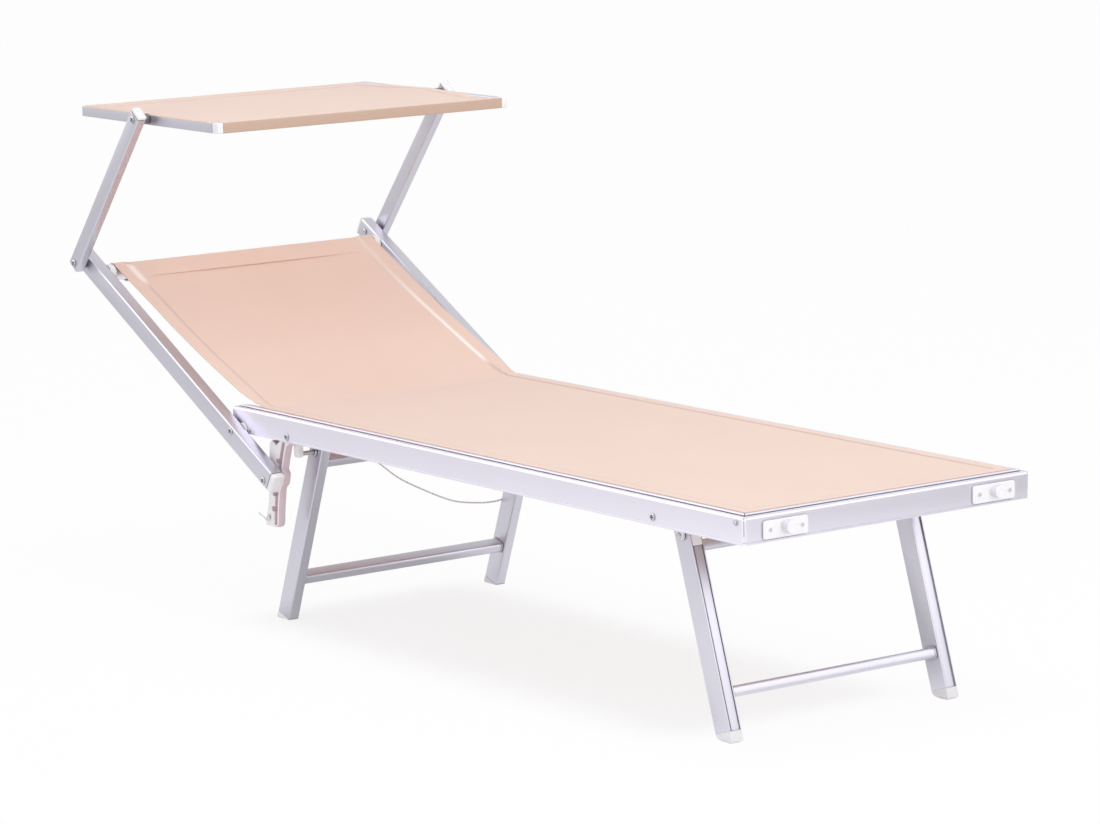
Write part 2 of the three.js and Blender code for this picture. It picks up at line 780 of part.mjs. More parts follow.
function topBar() {
  const end = armInner - fit;
  const inner = topBarRadius - tubeWall;
  const collarRadius = topBarRadius + fit + sleeveThickness;
  const collarFrom = backSlingHalf + fit;
  return join(
    tubeY(-topBarAbove, topBarOffset, topBarRadius, inner, -end, end),
    tubeY(-topBarAbove, topBarOffset, collarRadius, inner, collarFrom, end),
    tubeY(-topBarAbove, topBarOffset, collarRadius, inner, -end, -collarFrom),
  );
}

// The backrest's sling: flat from near the fold to the top bar, and sewn round the bar
function backSling() {
  const inner = topBarRadius + fit;
  const outer = inner + sleeveThickness;
  const away = Math.hypot(topBarAbove, backSlingRise - topBarOffset);
  const slope = Math.atan2(backSlingRise - topBarOffset, topBarAbove) - Math.asin(outer / away);
  const tangent = {
    x: Math.sin(slope) * outer - topBarAbove,
    z: Math.cos(slope) * outer + topBarOffset,
  };
  const start = { x: -backSlingStart, z: backSlingRise - Math.tan(slope) * backSlingStart };
  const under = { x: -Math.sin(slope) * slingThickness, z: -Math.cos(slope) * slingThickness };
  const face = polygon([
    [start.x, start.z],
    [tangent.x, tangent.z],
    [tangent.x + under.x, tangent.z + under.z],
    [start.x + under.x, start.z + under.z],
  ]);
  return join(
    extrudeY(face, -backSlingHalf, backSlingHalf),
    tubeY(-topBarAbove, topBarOffset, outer, inner, -backSlingHalf, backSlingHalf),
  );
}

function buildBackrest(parent) {
  const group = new THREE.Group();
  group.position.set(hingeX, 0, hingeZ);
  group.rotation.y = radians(backAngle);
  parent.add(group);
  addPair(group, 'back_arm', backArm(), aluminium);
  addPair(group, 'back_arm_lower_cap', backArmCap(armBelow, 1, lowerCapLength), whitePlastic);
  addPair(group, 'back_arm_upper_cap', backArmCap(-armAbove, -1, upperCapLength), whitePlastic);
  addPair(group, 'hinge_bolt', hingeBolt(), steel);
  addPair(group, 'latch_pin', latchPin(), steel);
  add(group, 'top_bar', topBar(), aluminium);
  add(group, 'back_sling', backSling(), fabric);
  return group;
}

// The canopy arms stand along +Z from their pivot at the origin; their group leans them
function canopyArm() {
  const section = tubeSection(
    0, canopyArmCentre, canopyArmWidth, canopyArmThickness, canopyArmRadius, tubeWall,
  );
  const tube = extrudeZ(section, -canopyArmBelow, canopyArmReach + canopyArmAbove);
  const from = canopyArmInner - overrun;
  const to = canopyArmOuter + overrun;
  return cut(
    tube,
    pinY(0, 0, boltRadius + fit, from, to),
    pinY(0, canopyArmReach, boltRadius + fit, from, to),
  );
}

function canopyArmCap() {
  const clearance = 2 * (tubeWall + fit);
  const section = roundedRectangle(
    new THREE.Shape(), 0, canopyArmCentre, canopyArmWidth, canopyArmThickness, canopyArmRadius,
  );
  const plugWidth = canopyArmWidth - clearance;
  const plugThickness = canopyArmThickness - clearance;
  const plug = roundedRectangle(
    new THREE.Shape(), 0, canopyArmCentre, plugWidth, plugThickness, canopyArmRadius - tubeWall,
  );
  const end = canopyArmReach + canopyArmAbove;
  const plugFoot = end - canopyArmAbove + boltRadius + 2 * fit;
  return join(
    extrudeZ(section, end + fit, end + fit + canopyCapLength),
    extrudeZ(plug, plugFoot, end + 2 * fit),
  );
}

// A pivot bolt: head, shank, spacer collar against the arm, and nut on the far wall
function canopyBolt(z, spacerFrom, nutOuter) {
  const headFrom = canopyArmOuter + fit;
  return join(
    pinY(0, z, boltHeadRadius, headFrom, headFrom + screwHeadHeight, smallSteps),
    pinY(0, z, boltRadius, nutOuter - canopyNutHeight, headFrom + screwHeadHeight / 2),
    pinY(0, z, canopySpacerRadius, spacerFrom + fit, canopyArmInner - fit),
    pinY(0, z, canopyNutRadius, nutOuter - canopyNutHeight, nutOuter, smallSteps),
  );
}

function buildCanopyArms(parent) {
  const group = new THREE.Group();
  group.position.set(-canopyPivotAbove, 0, canopyPivotOffset);
  group.rotation.y = radians(90 - canopyArmAngle - backAngle);
  parent.add(group);
  addPair(group, 'canopy_arm', canopyArm(), aluminium);
  addPair(group, 'canopy_arm_cap', canopyArmCap(), whitePlastic);
  addPair(group, 'canopy_swing_bolt', canopyBolt(0, armOuter, armInner - fit), steel);
  const sideBarWall = canopyHalf - tubeWall - fit;
  addPair(group, 'canopy_tilt_bolt', canopyBolt(canopyArmReach, canopyHalf, sideBarWall), steel);
  return group;
}

// The canopy lies level about its tilt pivot at the origin
function canopySideBar() {
  const section = tubeSection(
    sideBarCentre, -canopyBarDrop, canopyBarWidth, canopyBarHeight, canopyBarRadius, tubeWall,
  );
  const tube = extrudeX(section, -canopyBack, canopyFront - cornerAlong - fit);
  return cut(tube, pinY(0, 0, boltRadius + fit, sideBarCentre, canopyHalf + overrun));
}

function canopyCorner() {
  const middle = canopyHalf - cornerAcross / 2;
  const section = roundedRectangle(
    new THREE.Shape(), middle, -canopyBarDrop, cornerAcross, canopyBarHeight, canopyBarRadius,
  );
  const clearance = tubeWall + fit;
  const plugInner = canopyHalf - cornerAcross + fit;
  const plugOuter = canopyHalf - clearance;
  const plugHeight = canopyBarHeight - 2 * clearance;
  const plug = roundedRectangle(
    new THREE.Shape(), (plugInner + plugOuter) / 2, -canopyBarDrop, plugOuter - plugInner, plugHeight, fit,
  );
  const back = canopyFront - cornerAlong;
  return join(
    extrudeX(section, back, canopyFront),
    extrudeX(plug, back - plugLength, back + fit),
  );
}

function canopyCrossBar(front, half) {
  const width = canopyBarWidth - 2 * (canopyWrap + fit);
  const height = canopyBarHeight - 2 * (canopyWrap + fit);
  const middle = front - canopyBarWidth / 2;
  const radius = canopyBarRadius - canopyWrap;
  const section = tubeSection(middle, -canopyBarDrop, width, height, radius, tubeWall);
  return extrudeY(section, -half, half);
}

// The fabric: a flat sheet between the side bars, sewn round the front and back bars
function canopyFabric() {
  const barTop = canopyBarHeight / 2 - canopyBarDrop;
  const half = sideBarInner - fit;
  const frontHalf = canopyHalf - cornerAcross - fit;
  const backEdge = canopyBarWidth - canopyBack;
  const sleeve = (front) => {
    const middle = front - canopyBarWidth / 2;
    const size = [canopyBarWidth, canopyBarHeight, canopyBarRadius];
    return tubeSection(middle, -canopyBarDrop, ...size, canopyWrap);
  };
  const sheetTop = barTop - canopyFabricDrop;
  return join(
    box(
      backEdge - canopyWrap, canopyFront - canopyBarWidth + canopyWrap, -half, half,
      sheetTop - slingThickness, sheetTop,
    ),
    extrudeY(sleeve(canopyFront), -frontHalf, frontHalf),
    extrudeY(sleeve(backEdge), -half, half),
  );
}

function buildCanopy(parent) {
  const group = new THREE.Group();
  group.position.set(0, 0, canopyArmReach);
  group.rotation.y = radians(canopyArmAngle - 90);
  parent.add(group);
  addPair(group, 'canopy_side_bar', canopySideBar(), aluminium);
  addPair(group, 'canopy_corner', canopyCorner(), whitePlastic);
  const frontHalf = canopyHalf - cornerAcross - fit;
  const backHalf = sideBarInner - fit;
  add(group, 'canopy_front_bar', canopyCrossBar(canopyFront, frontHalf), aluminium);
  add(group, 'canopy_back_bar', canopyCrossBar(canopyBarWidth - canopyBack, backHalf), aluminium);
  add(group, 'canopy_fabric', canopyFabric(), fabric);
}

buildMainFrame(scene);
buildLegs(scene, 'rear', rearAxle, rearLean);
buildLegs(scene, 'front', frontAxle, frontLean);
buildRacks(scene);
add(scene, 'release_cord', releaseCord(), cordFinish);
const backrest = buildBackrest(scene);
const canopyArms = buildCanopyArms(backrest);
buildCanopy(canopyArms);

// The origin goes to the middle of the lounger's footprint, on the floor
scene.updateMatrixWorld(true);
const bounds = new THREE.Box3().setFromObject(scene, true);
scene.position.set(-(bounds.min.x + bounds.max.x) / 2, 0, -bounds.min.z);

export default scene;
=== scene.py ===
"""Looks of a folding sun lounger with a canopy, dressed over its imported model.

Sizes are in millimetres and measured from the foot rail's outer face (X), the middle of the
bed (Y) and the floor (Z). Each sub-assembly draws its pieces in a frame of its own, which a
Placement turns and moves into the model's frame, in metres.
"""
import logging
import math
from collections.abc import Sequence
from dataclasses import dataclass, field
from enum import Enum

import bpy
import numpy as np
from mathutils import Matrix, Vector


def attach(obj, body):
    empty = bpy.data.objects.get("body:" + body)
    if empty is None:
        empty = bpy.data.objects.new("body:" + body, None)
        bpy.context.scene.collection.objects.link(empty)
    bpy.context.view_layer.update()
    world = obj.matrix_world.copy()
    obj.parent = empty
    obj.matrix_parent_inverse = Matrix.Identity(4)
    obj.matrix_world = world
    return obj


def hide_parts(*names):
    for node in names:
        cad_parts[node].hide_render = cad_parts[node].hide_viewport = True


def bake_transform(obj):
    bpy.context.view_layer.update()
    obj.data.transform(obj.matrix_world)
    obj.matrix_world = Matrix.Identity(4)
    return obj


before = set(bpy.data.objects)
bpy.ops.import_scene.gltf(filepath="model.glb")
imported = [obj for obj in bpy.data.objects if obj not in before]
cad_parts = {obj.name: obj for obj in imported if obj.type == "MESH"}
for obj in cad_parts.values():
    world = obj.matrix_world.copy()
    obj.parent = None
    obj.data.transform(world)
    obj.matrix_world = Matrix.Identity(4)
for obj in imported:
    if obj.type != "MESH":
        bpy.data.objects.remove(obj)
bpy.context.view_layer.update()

LOG = logging.getLogger("lounger")
Array = np.ndarray
MM = 0.001
FOOT_TO_MIDDLE = 0.9403739  # metres from the foot rail's outer face to the frame's origin
FIT = 0.3  # gap left between pieces that are pushed together
HINGE = (-1391.7, 349.6)  # the backrest's axis, in X and Z
LATCH = (124.4, -17.7)  # the latch pin, in the backrest's frame
REST_ANGLE = 29.0  # the backrest's angle in the photograph, in degrees
REAR_SCREW = (-1255.5, 353.0)  # the rail screw that the hangers turn on
FRONT_AXLE = 224.8  # from the foot rail to the front legs' axle
AXLE_HEIGHT = 319.5
ARM_REACH = 356.7  # from the canopy arms' swing bolt to their tilt bolt


class Axis(Enum):
    """The direction along which a section is carried."""

    X = (2, 0, 1)
    Y = (0, 2, 1)
    Z = (0, 1, 2)

    def spread(self, section: Array, along: Array) -> Array:
        """Puts section coordinates (u, v) and a distance along the axis into (x, y, z)."""
        columns = np.concatenate([section, along[..., None]], axis=-1)
        return columns[..., list(self.value)]


class Side(Enum):
    """Left is +Y, and right is its mirror image."""

    LEFT = 1.0
    RIGHT = -1.0

    @property
    def word(self) -> str:
        """The side's name at the end of a piece's name."""
        return self.name.lower()


@dataclass(frozen=True)
class Placement:
    """A frame, given by its origin in X and Z and its turn about +Y in degrees."""

    x: float = 0.0
    z: float = 0.0
    turn: float = 0.0

    def turned(self, points: Array) -> Array:
        """Turns (x, y, z) points: x' = x cos t + z sin t, z' = z cos t - x sin t."""
        c, s = math.cos(math.radians(self.turn)), math.sin(math.radians(self.turn))
        x, y, z = np.moveaxis(points, -1, 0)
        return np.stack([x * c + z * s + self.x, y, z * c - x * s + self.z], axis=-1)

    def world(self, points: Array) -> Array:
        """Turns, moves and scales points in mm to metres in the model's frame."""
        return self.turned(points) * MM + np.array([FOOT_TO_MIDDLE, 0.0, 0.0])

    def child(self, x: float, z: float, turn: float) -> "Placement":
        """A frame at (x, z) of this one, turned further by turn degrees."""
        origin = self.turned(np.array([x, 0.0, z]))
        return Placement(float(origin[0]), float(origin[2]), self.turn + turn)


@dataclass
class Surface:
    """A mesh in the making: points in mm, quads and rings of faces, and a UV for each corner.

    Args:
        points: (n, 3) points.
        quads: (q, 4) indices.
        quad_uv: (q, 4, 2) in metres.
        rings: faces with any number of corners.
        ring_uv: the UV of each ring's corners.
    """

    points: Array
    quads: Array
    quad_uv: Array
    rings: list[Array] = field(default_factory=list)
    ring_uv: list[Array] = field(default_factory=list)

    def volume(self) -> float:
        """Signed volume, the sum of a . (b x c) / 6 over a fan of triangles on each face."""
        p = self.points
        total = 0.0
        for faces in (self.quads[:, [0, 1, 2]], self.quads[:, [0, 2, 3]]):
            a, b, c = (p[faces[:, k]] for k in range(3))
            total += float((a * np.cross(b, c)).sum()) / 6
        for ring in self.rings:
            a, b, c = p[ring[0]], p[ring[1:-1]], p[ring[2:]]
            total += float((np.cross(b, c) @ a).sum()) / 6
        return total

    def flipped(self) -> "Surface":
        """The same faces seen from the other side."""
        return Surface(
            self.points,
            self.quads[:, ::-1],
            self.quad_uv[:, ::-1],
            [ring[::-1] for ring in self.rings],
            [uv[::-1] for uv in self.ring_uv],
        )

    def outward(self) -> "Surface":
        """Faces that point out of a closed shell, which has a positive volume."""
        return self if self.volume() > 0 else self.flipped()


def merged(*parts: Surface) -> Surface:
    """Several surfaces in one mesh, each one's indices raised by the points before it."""
    starts = np.cumsum([0] + [len(part.points) for part in parts[:-1]])
    return Surface(
        np.concatenate([part.points for part in parts]),
        np.concatenate([part.quads + at for part, at in zip(parts, starts)]),
        np.concatenate([part.quad_uv for part in parts]),
        [ring + at for part, at in zip(parts, starts) for ring in part.rings],
        [uv for part in parts for uv in part.ring_uv],
    )


def filleted(corners: Sequence[Sequence[float]], steps: int = 5) -> Array:
    """A closed outline with its corners rounded.

    Each corner P becomes the curve (1-s)^2 A + 2 s (1-s) P + s^2 B, where A and B lie on its
    two sides at the corner's radius times tan(turn / 2) from P.

    Args:
        corners: (u, v, radius) of each corner, in order.
        steps: points of each rounded corner.

    Returns:
        (n, 2) points.
    """
    table = np.asarray(corners, float)
    place, radius = table[:, :2], table[:, 2]
    before, after = np.roll(place, 1, axis=0) - place, np.roll(place, -1, axis=0) - place
    length_in, length_out = np.linalg.norm(before, axis=1), np.linalg.norm(after, axis=1)
    unit_in, unit_out = before / length_in[:, None], after / length_out[:, None]
    turn = np.pi - np.arccos(np.clip((unit_in * unit_out).sum(1), -1, 1))
    reach = np.maximum(radius * np.tan(turn / 2), 0.02)
    reach = np.minimum(reach, 0.49 * np.minimum(length_in, length_out))[:, None, None]
    s = np.linspace(0, 1, steps)[None, :, None]
    start, end = place[:, None] + unit_in[:, None] * reach, place[:, None] + unit_out[:, None] * reach
    curve = (1 - s) ** 2 * start + 2 * s * (1 - s) * place[:, None] + s**2 * end
    return curve.reshape(-1, 2)


def rectangle(u: float, v: float, width: float, height: float, radius: float) -> Array:
    """A rounded rectangle about (u, v)."""
    a, b = width / 2, height / 2
    signs = [(-1, -1), (1, -1), (1, 1), (-1, 1)]
    return filleted([(u + i * a, v + j * b, radius) for i, j in signs])


def circle(u: float, v: float, radius: float, steps: int = 32) -> Array:
    """Points of a circle: (u + r cos t, v + r sin t)."""
    t = np.linspace(0, 2 * np.pi, steps, endpoint=False)
    return np.stack([u + radius * np.cos(t), v + radius * np.sin(t)], axis=-1)


def normals(outline: Array) -> Array:
    """Outward unit normals of a closed outline, square to the chord between two neighbours."""
    chord = np.roll(outline, -1, axis=0) - np.roll(outline, 1, axis=0)
    chord /= np.maximum(np.linalg.norm(chord, axis=1), 1e-9)[:, None]
    u, v = outline.T
    area = (u * np.roll(v, -1) - np.roll(u, -1) * v).sum()
    return np.stack([chord[:, 1], -chord[:, 0]], axis=-1) * np.sign(area)


def loft(rings: Array, uv: Array | None = None) -> Surface:
    """A closed tube through (m, n, 3) rings of points, with a face over each end.

    Args:
        rings: the points, each ring closed.
        uv: (m, n + 1, 2) in metres; without it, u is the distance along and v the one around.

    Returns:
        The surface, facing outwards.
    """
    m, n = rings.shape[:2]
    index = np.arange(m * n).reshape(m, n)
    beside = np.roll(index, -1, axis=1)
    quads = np.stack([index[:-1], beside[:-1], beside[1:], index[1:]], axis=-1).reshape(-1, 4)
    if uv is None:
        wide = np.concatenate([rings, rings[:, :1]], axis=1)
        step = np.linalg.norm(np.diff(wide[m // 2], axis=0), axis=1)
        middle = rings.mean(axis=1)
        run = np.linalg.norm(np.diff(middle, axis=0), axis=1)
        along = np.concatenate([[0], np.cumsum(run)]) * MM
        around = np.concatenate([[0], np.cumsum(step)]) * MM
        uv = np.stack(np.broadcast_arrays(along[:, None], around[None, :]), axis=-1)
    corners = [uv[:-1, :-1], uv[:-1, 1:], uv[1:, 1:], uv[1:, :-1]]
    quad_uv = np.stack(corners, axis=2).reshape(-1, 4, 2)
    ends = [index[0][::-1], index[-1]]
    points = rings.reshape(-1, 3)
    end_uv = [points[end][:, :2] * MM for end in ends]
    return Surface(points, quads, quad_uv, ends, end_uv).outward()


def prism(outline: Array, start: float, end: float, axis: Axis, edge: float = 0.0) -> Surface:
    """An outline carried along an axis, its end edges rounded.

    At the distance e (1 - sin t) from an end, the outline is set in by e (1 - cos t), for t
    from a quarter turn at the end to zero at the distance e.

    Args:
        outline: (n, 2) points of the section.
        start: where it begins on the axis.
        end: where it ends.
        axis: the axis.
        edge: radius of the end edges.

    Returns:
        A closed surface.
    """
    out = normals(outline)
    if edge > 0:
        t = np.linspace(np.pi / 2, 0, 5)
        inset, reach = edge * (1 - np.cos(t)), edge * (1 - np.sin(t))
        along = np.concatenate([start + reach, (end - reach)[::-1]])
        inset = np.concatenate([inset, inset[::-1]])
    else:
        along, inset = np.array([start, end]), np.zeros(2)
    sections = outline[None] - out[None] * inset[:, None, None]
    return loft(axis.spread(sections, np.broadcast_to(along[:, None], sections.shape[:2])))


def turned_piece(
    profile: Sequence[Sequence[float]], u: float, v: float, axis: Axis, steps: int = 32
) -> Surface:
    """A turned piece about a line through (u, v): radius r(k) at the distance h(k) along it."""
    table = np.asarray(profile, float)
    ring = circle(0, 0, 1, steps)
    sections = ring[None] * table[:, 0, None, None] + np.array([u, v])
    return loft(axis.spread(sections, np.broadcast_to(table[:, 1, None], sections.shape[:2])))


def screw_head(
    u: float, v: float, axis: Axis, face: float, radius: float, height: float
) -> Surface:
    """A pan head with a cross recess.

    The dome's height is h (1 - (r / R)^4 / 2). Inside the cross, whose arms are 0.3 R wide and
    0.66 R long each way, it drops by 0.95 h over a soft edge.

    Args:
        u: centre in the section's first coordinate.
        v: centre in its second.
        axis: the screw's direction.
        face: where the head sits on the axis.
        radius: the head's radius.
        height: the head's height.

    Returns:
        A closed surface.
    """
    share = np.array([1.0, 1.0, 0.97, 0.9, 0.8, 0.72, 0.64, 0.56, 0.48, 0.4, 0.3, 0.22, 0.14, 0.05])
    ring = circle(0, 0, 1, 48)
    flat = ring[None] * share[:, None, None] * radius
    a, b = np.abs(flat[..., 0]), np.abs(flat[..., 1])
    wide, long = 0.15 * radius, 0.66 * radius
    gap = np.minimum(np.maximum(a - wide, b - long), np.maximum(b - wide, a - long))
    drop = 0.95 * height * np.clip(0.5 - gap / (0.1 * radius), 0, 1)
    top = height * (1 - 0.5 * share**4)
    along = face + np.maximum(top[:, None] - drop, 0.1)
    along[0] = face
    return loft(axis.spread(flat + np.array([u, v]), along))


def smooth_path(points: Array, steps: int) -> Array:
    """A centripetal Catmull-Rom curve through points, at equal steps of each span's parameter.

    With knots apart by the square root of the chord, a span is the cubic with the end slopes
    m = (p1 - p0) / d0 - (p2 - p0) / (d0 + d1) + (p2 - p1) / d1, times d1.

    Args:
        points: (n, 3) points.
        steps: samples of each span.

    Returns:
        ((n - 1) * steps + 1, 3) points.
    """
    ends = [2 * points[0] - points[1], *points, 2 * points[-1] - points[-2]]
    p0, p1, p2, p3 = (np.array(ends)[k : k + len(points) - 1] for k in range(4))
    d0, d1, d2 = (
        np.sqrt(np.linalg.norm(b - a, axis=1))[:, None] for a, b in ((p0, p1), (p1, p2), (p2, p3))
    )
    m1 = ((p1 - p0) / d0 - (p2 - p0) / (d0 + d1) + (p2 - p1) / d1) * d1
    m2 = ((p2 - p1) / d1 - (p3 - p1) / (d1 + d2) + (p3 - p2) / d2) * d1
    t = np.linspace(0, 1, steps, endpoint=False)[None, :, None]
    p1, p2, m1, m2 = (a[:, None] for a in (p1, p2, m1, m2))
    cubic = (
        (2 * t**3 - 3 * t**2 + 1) * p1
        + (t**3 - 2 * t**2 + t) * m1
        + (3 * t**2 - 2 * t**3) * p2
        + (t**3 - t**2) * m2
    )
    return np.concatenate([cubic.reshape(-1, 3), points[-1:]])


def tube(path: Array, radius: float, steps: int = 12) -> Surface:
    """A round tube along a path, by rings square to it.

    Each ring is p + r (cos t a + sin t b), where a is square to the path and to a fixed
    direction that the path never follows, and b is square to both.
    """
    tangent = np.gradient(path, axis=0)
    tangent /= np.linalg.norm(tangent, axis=1)[:, None]
    a = np.cross(tangent, np.array([1.0, 0.02, 0.03]))
    a /= np.linalg.norm(a, axis=1)[:, None]
    b = np.cross(tangent, a)
    t = np.linspace(0, 2 * np.pi, steps, endpoint=False)[None, :, None]
    return loft(path[:, None] + radius * (np.cos(t) * a[:, None] + np.sin(t) * b[:, None]))


def resampled(path: Array, step: float) -> Array:
    """Points of a polyline at equal distances of about step along it."""
    run = np.concatenate([[0], np.cumsum(np.linalg.norm(np.diff(path, axis=0), axis=1))])
    count = max(2, int(round(run[-1] / step)) + 1)
    at = np.linspace(0, run[-1], count)
    return np.stack([np.interp(at, run, column) for column in path.T], axis=-1)


class Recipe:
    """A node tree, built with short calls."""

    def __init__(self, owner: bpy.types.ID) -> None:
        """Starts from the nodes that a material or world comes with."""
        owner.use_nodes = True
        self.tree = owner.node_tree
        self.shader = self.tree.nodes.get("Principled BSDF")

    def add(
        self, kind: str, inputs: dict[str | int, object] | None = None, **settings: object
    ) -> bpy.types.Node:
        """Adds a node.

        Args:
            kind: the node's type without its ShaderNode prefix.
            inputs: socket to a value or to another node's output.
            settings: the node's own properties.

        Returns:
            The node.
        """
        node = self.tree.nodes.new(f"ShaderNode{kind}")
        for key, value in settings.items():
            setattr(node, key, value)
        self.feed(node, inputs or {})
        return node

    def feed(self, node: bpy.types.Node, inputs: dict[str | int, object]) -> None:
        """Sets or links a node's inputs."""
        for key, value in inputs.items():
            if isinstance(value, bpy.types.NodeSocket):
                self.tree.links.new(value, node.inputs[key])
            else:
                node.inputs[key].default_value = value

    def math(self, operation: str, a: object, b: object = 0.0, clamp: bool = False) -> object:
        """The output of a Math node."""
        return self.add("Math", {0: a, 1: b}, operation=operation, use_clamp=clamp).outputs[0]

    def blend(self, share: object, first: object, second: object) -> object:
        """The output of a colour Mix node."""
        inputs = {0: share, 6: first, 7: second}
        return self.add("Mix", inputs, data_type="RGBA").outputs[2]

    def noise(self, vector: object, scale: float, detail: float = 2.0) -> object:
        """The value of a Noise texture."""
        inputs = {"Vector": vector, "Scale": scale, "Detail": detail}
        return self.add("TexNoise", inputs).outputs[0]

    def ramp(self, value: object, low: float, high: float) -> object:
        """Maps 0..1 to low..high."""
        return self.add("MapRange", {0: value, 3: low, 4: high}).outputs[0]

    def between(
        self,
        value: object,
        limits: tuple[float, float],
        levels: tuple[float, float],
        **settings: object,
    ) -> object:
        """Maps the two limits to the two levels, and holds the levels beyond them."""
        inputs = {0: value, 1: limits[0], 2: limits[1], 3: levels[0], 4: levels[1]}
        return self.add("MapRange", inputs, **settings).outputs[0]

    def multiplied(self, share: object, first: object, second: object) -> object:
        """A colour times another one, as far as the share says."""
        inputs = {0: share, 6: first, 7: second}
        return self.add("Mix", inputs, data_type="RGBA", blend_type="MULTIPLY").outputs[2]

    def crevice(self, colour: object, reach: float, least: float) -> object:
        """Paints shade into a colour in crevices: times least to 1, by how open the surface is."""
        node = self.add("AmbientOcclusion", {"Distance": reach}, samples=8)
        level = self.ramp(node.outputs["AO"], least, 1.0)
        shade = self.add("CombineColor", {0: level, 1: level, 2: level}).outputs[0]
        return self.multiplied(1.0, colour, shade)

    def bump(self, height: object, strength: float, distance: float) -> None:
        """Feeds the shader's normal with a bump."""
        inputs = {"Height": height, "Strength": strength, "Distance": distance}
        self.feed(self.shader, {"Normal": self.add("Bump", inputs).outputs[0]})


Colour = tuple[float, float, float, float]


@dataclass(frozen=True)
class Finish:
    """What every finish has: a name, the record's slot and two tints it varies between."""

    name: str
    slot: str
    light: Colour
    dark: Colour
    roughness: float

    def material(self) -> bpy.types.Material:
        """The finish's material, made once."""
        made = bpy.data.materials.get(self.name)
        if made is None:
            made = bpy.data.materials.new(self.name)
            self.mix(Recipe(made))
        return made

    def mix(self, recipe: Recipe) -> None:
        """Fills the recipe. Each kind of finish has its own."""
        raise NotImplementedError


@dataclass(frozen=True)
class SatinAluminium(Finish):
    """Drawn and anodised tube: fine lines along its length and a faint lavender tint."""

    metal: float = 0.9

    def mix(self, recipe: Recipe) -> None:
        """Streaks follow the UV map's first direction, which runs along each tube."""
        where = recipe.add("TexCoord").outputs
        stretch = recipe.add("Mapping", {"Vector": where["UV"], "Scale": (3.0, 900.0, 1.0)}).outputs[0]
        lines = recipe.noise(stretch, 1.0, 3.0)
        cloud = recipe.noise(where["Object"], 5.0, 2.0)
        tint = recipe.math("MULTIPLY", recipe.math("ADD", lines, cloud), 0.5, clamp=True)
        recipe.feed(
            recipe.shader,
            {
                # Shade is painted into the base colour in crevices, such as the rail's groove and the
                # mitres.
                "Base Color": recipe.crevice(recipe.blend(tint, self.dark, self.light), 0.004, 0.3),
                "Metallic": self.metal,
                "Roughness": recipe.ramp(lines, self.roughness - 0.05, self.roughness + 0.06),
                "Specular IOR Level": 0.5,
            },
        )
        recipe.bump(lines, 0.06, 0.0002)


@dataclass(frozen=True)
class MouldedPlastic(Finish):
    """White moulding with a fine grain."""

    grain: float = 900.0
    # Reach and least level of the shade painted into crevices.
    crevices: tuple[float, float] = (0.012, 0.4)

    def mix(self, recipe: Recipe) -> None:
        """A fine noise gives the grain, and a broad one the slight change of tint."""
        where = recipe.add("TexCoord").outputs["Object"]
        fine = recipe.noise(where, self.grain, 2.0)
        broad = recipe.noise(where, 14.0, 2.0)
        recipe.feed(
            recipe.shader,
            {
                # Shade is painted into the base colour in crevices.
                "Base Color": recipe.crevice(recipe.blend(broad, self.dark, self.light), *self.crevices),
                "Roughness": recipe.ramp(fine, self.roughness - 0.06, self.roughness + 0.06),
                "Specular IOR Level": 0.45,
            },
        )
        recipe.bump(fine, 0.08, 0.0003)


@dataclass(frozen=True)
class BrightSteel(Finish):
    """Zinc plated steel."""

    def mix(self, recipe: Recipe) -> None:
        """Plating that clouds a little."""
        where = recipe.add("TexCoord").outputs["Object"]
        cloud = recipe.noise(where, 260.0, 3.0)
        recipe.feed(
            recipe.shader,
            {
                # Shade is painted into the base colour in crevices, black in the cross recess.
                "Base Color": recipe.crevice(recipe.blend(cloud, self.dark, self.light), 0.0024, 0.0),
                "Metallic": 1.0,
                "Roughness": recipe.ramp(cloud, self.roughness - 0.05, self.roughness + 0.1),
            },
        )
        recipe.bump(cloud, 0.05, 0.0002)


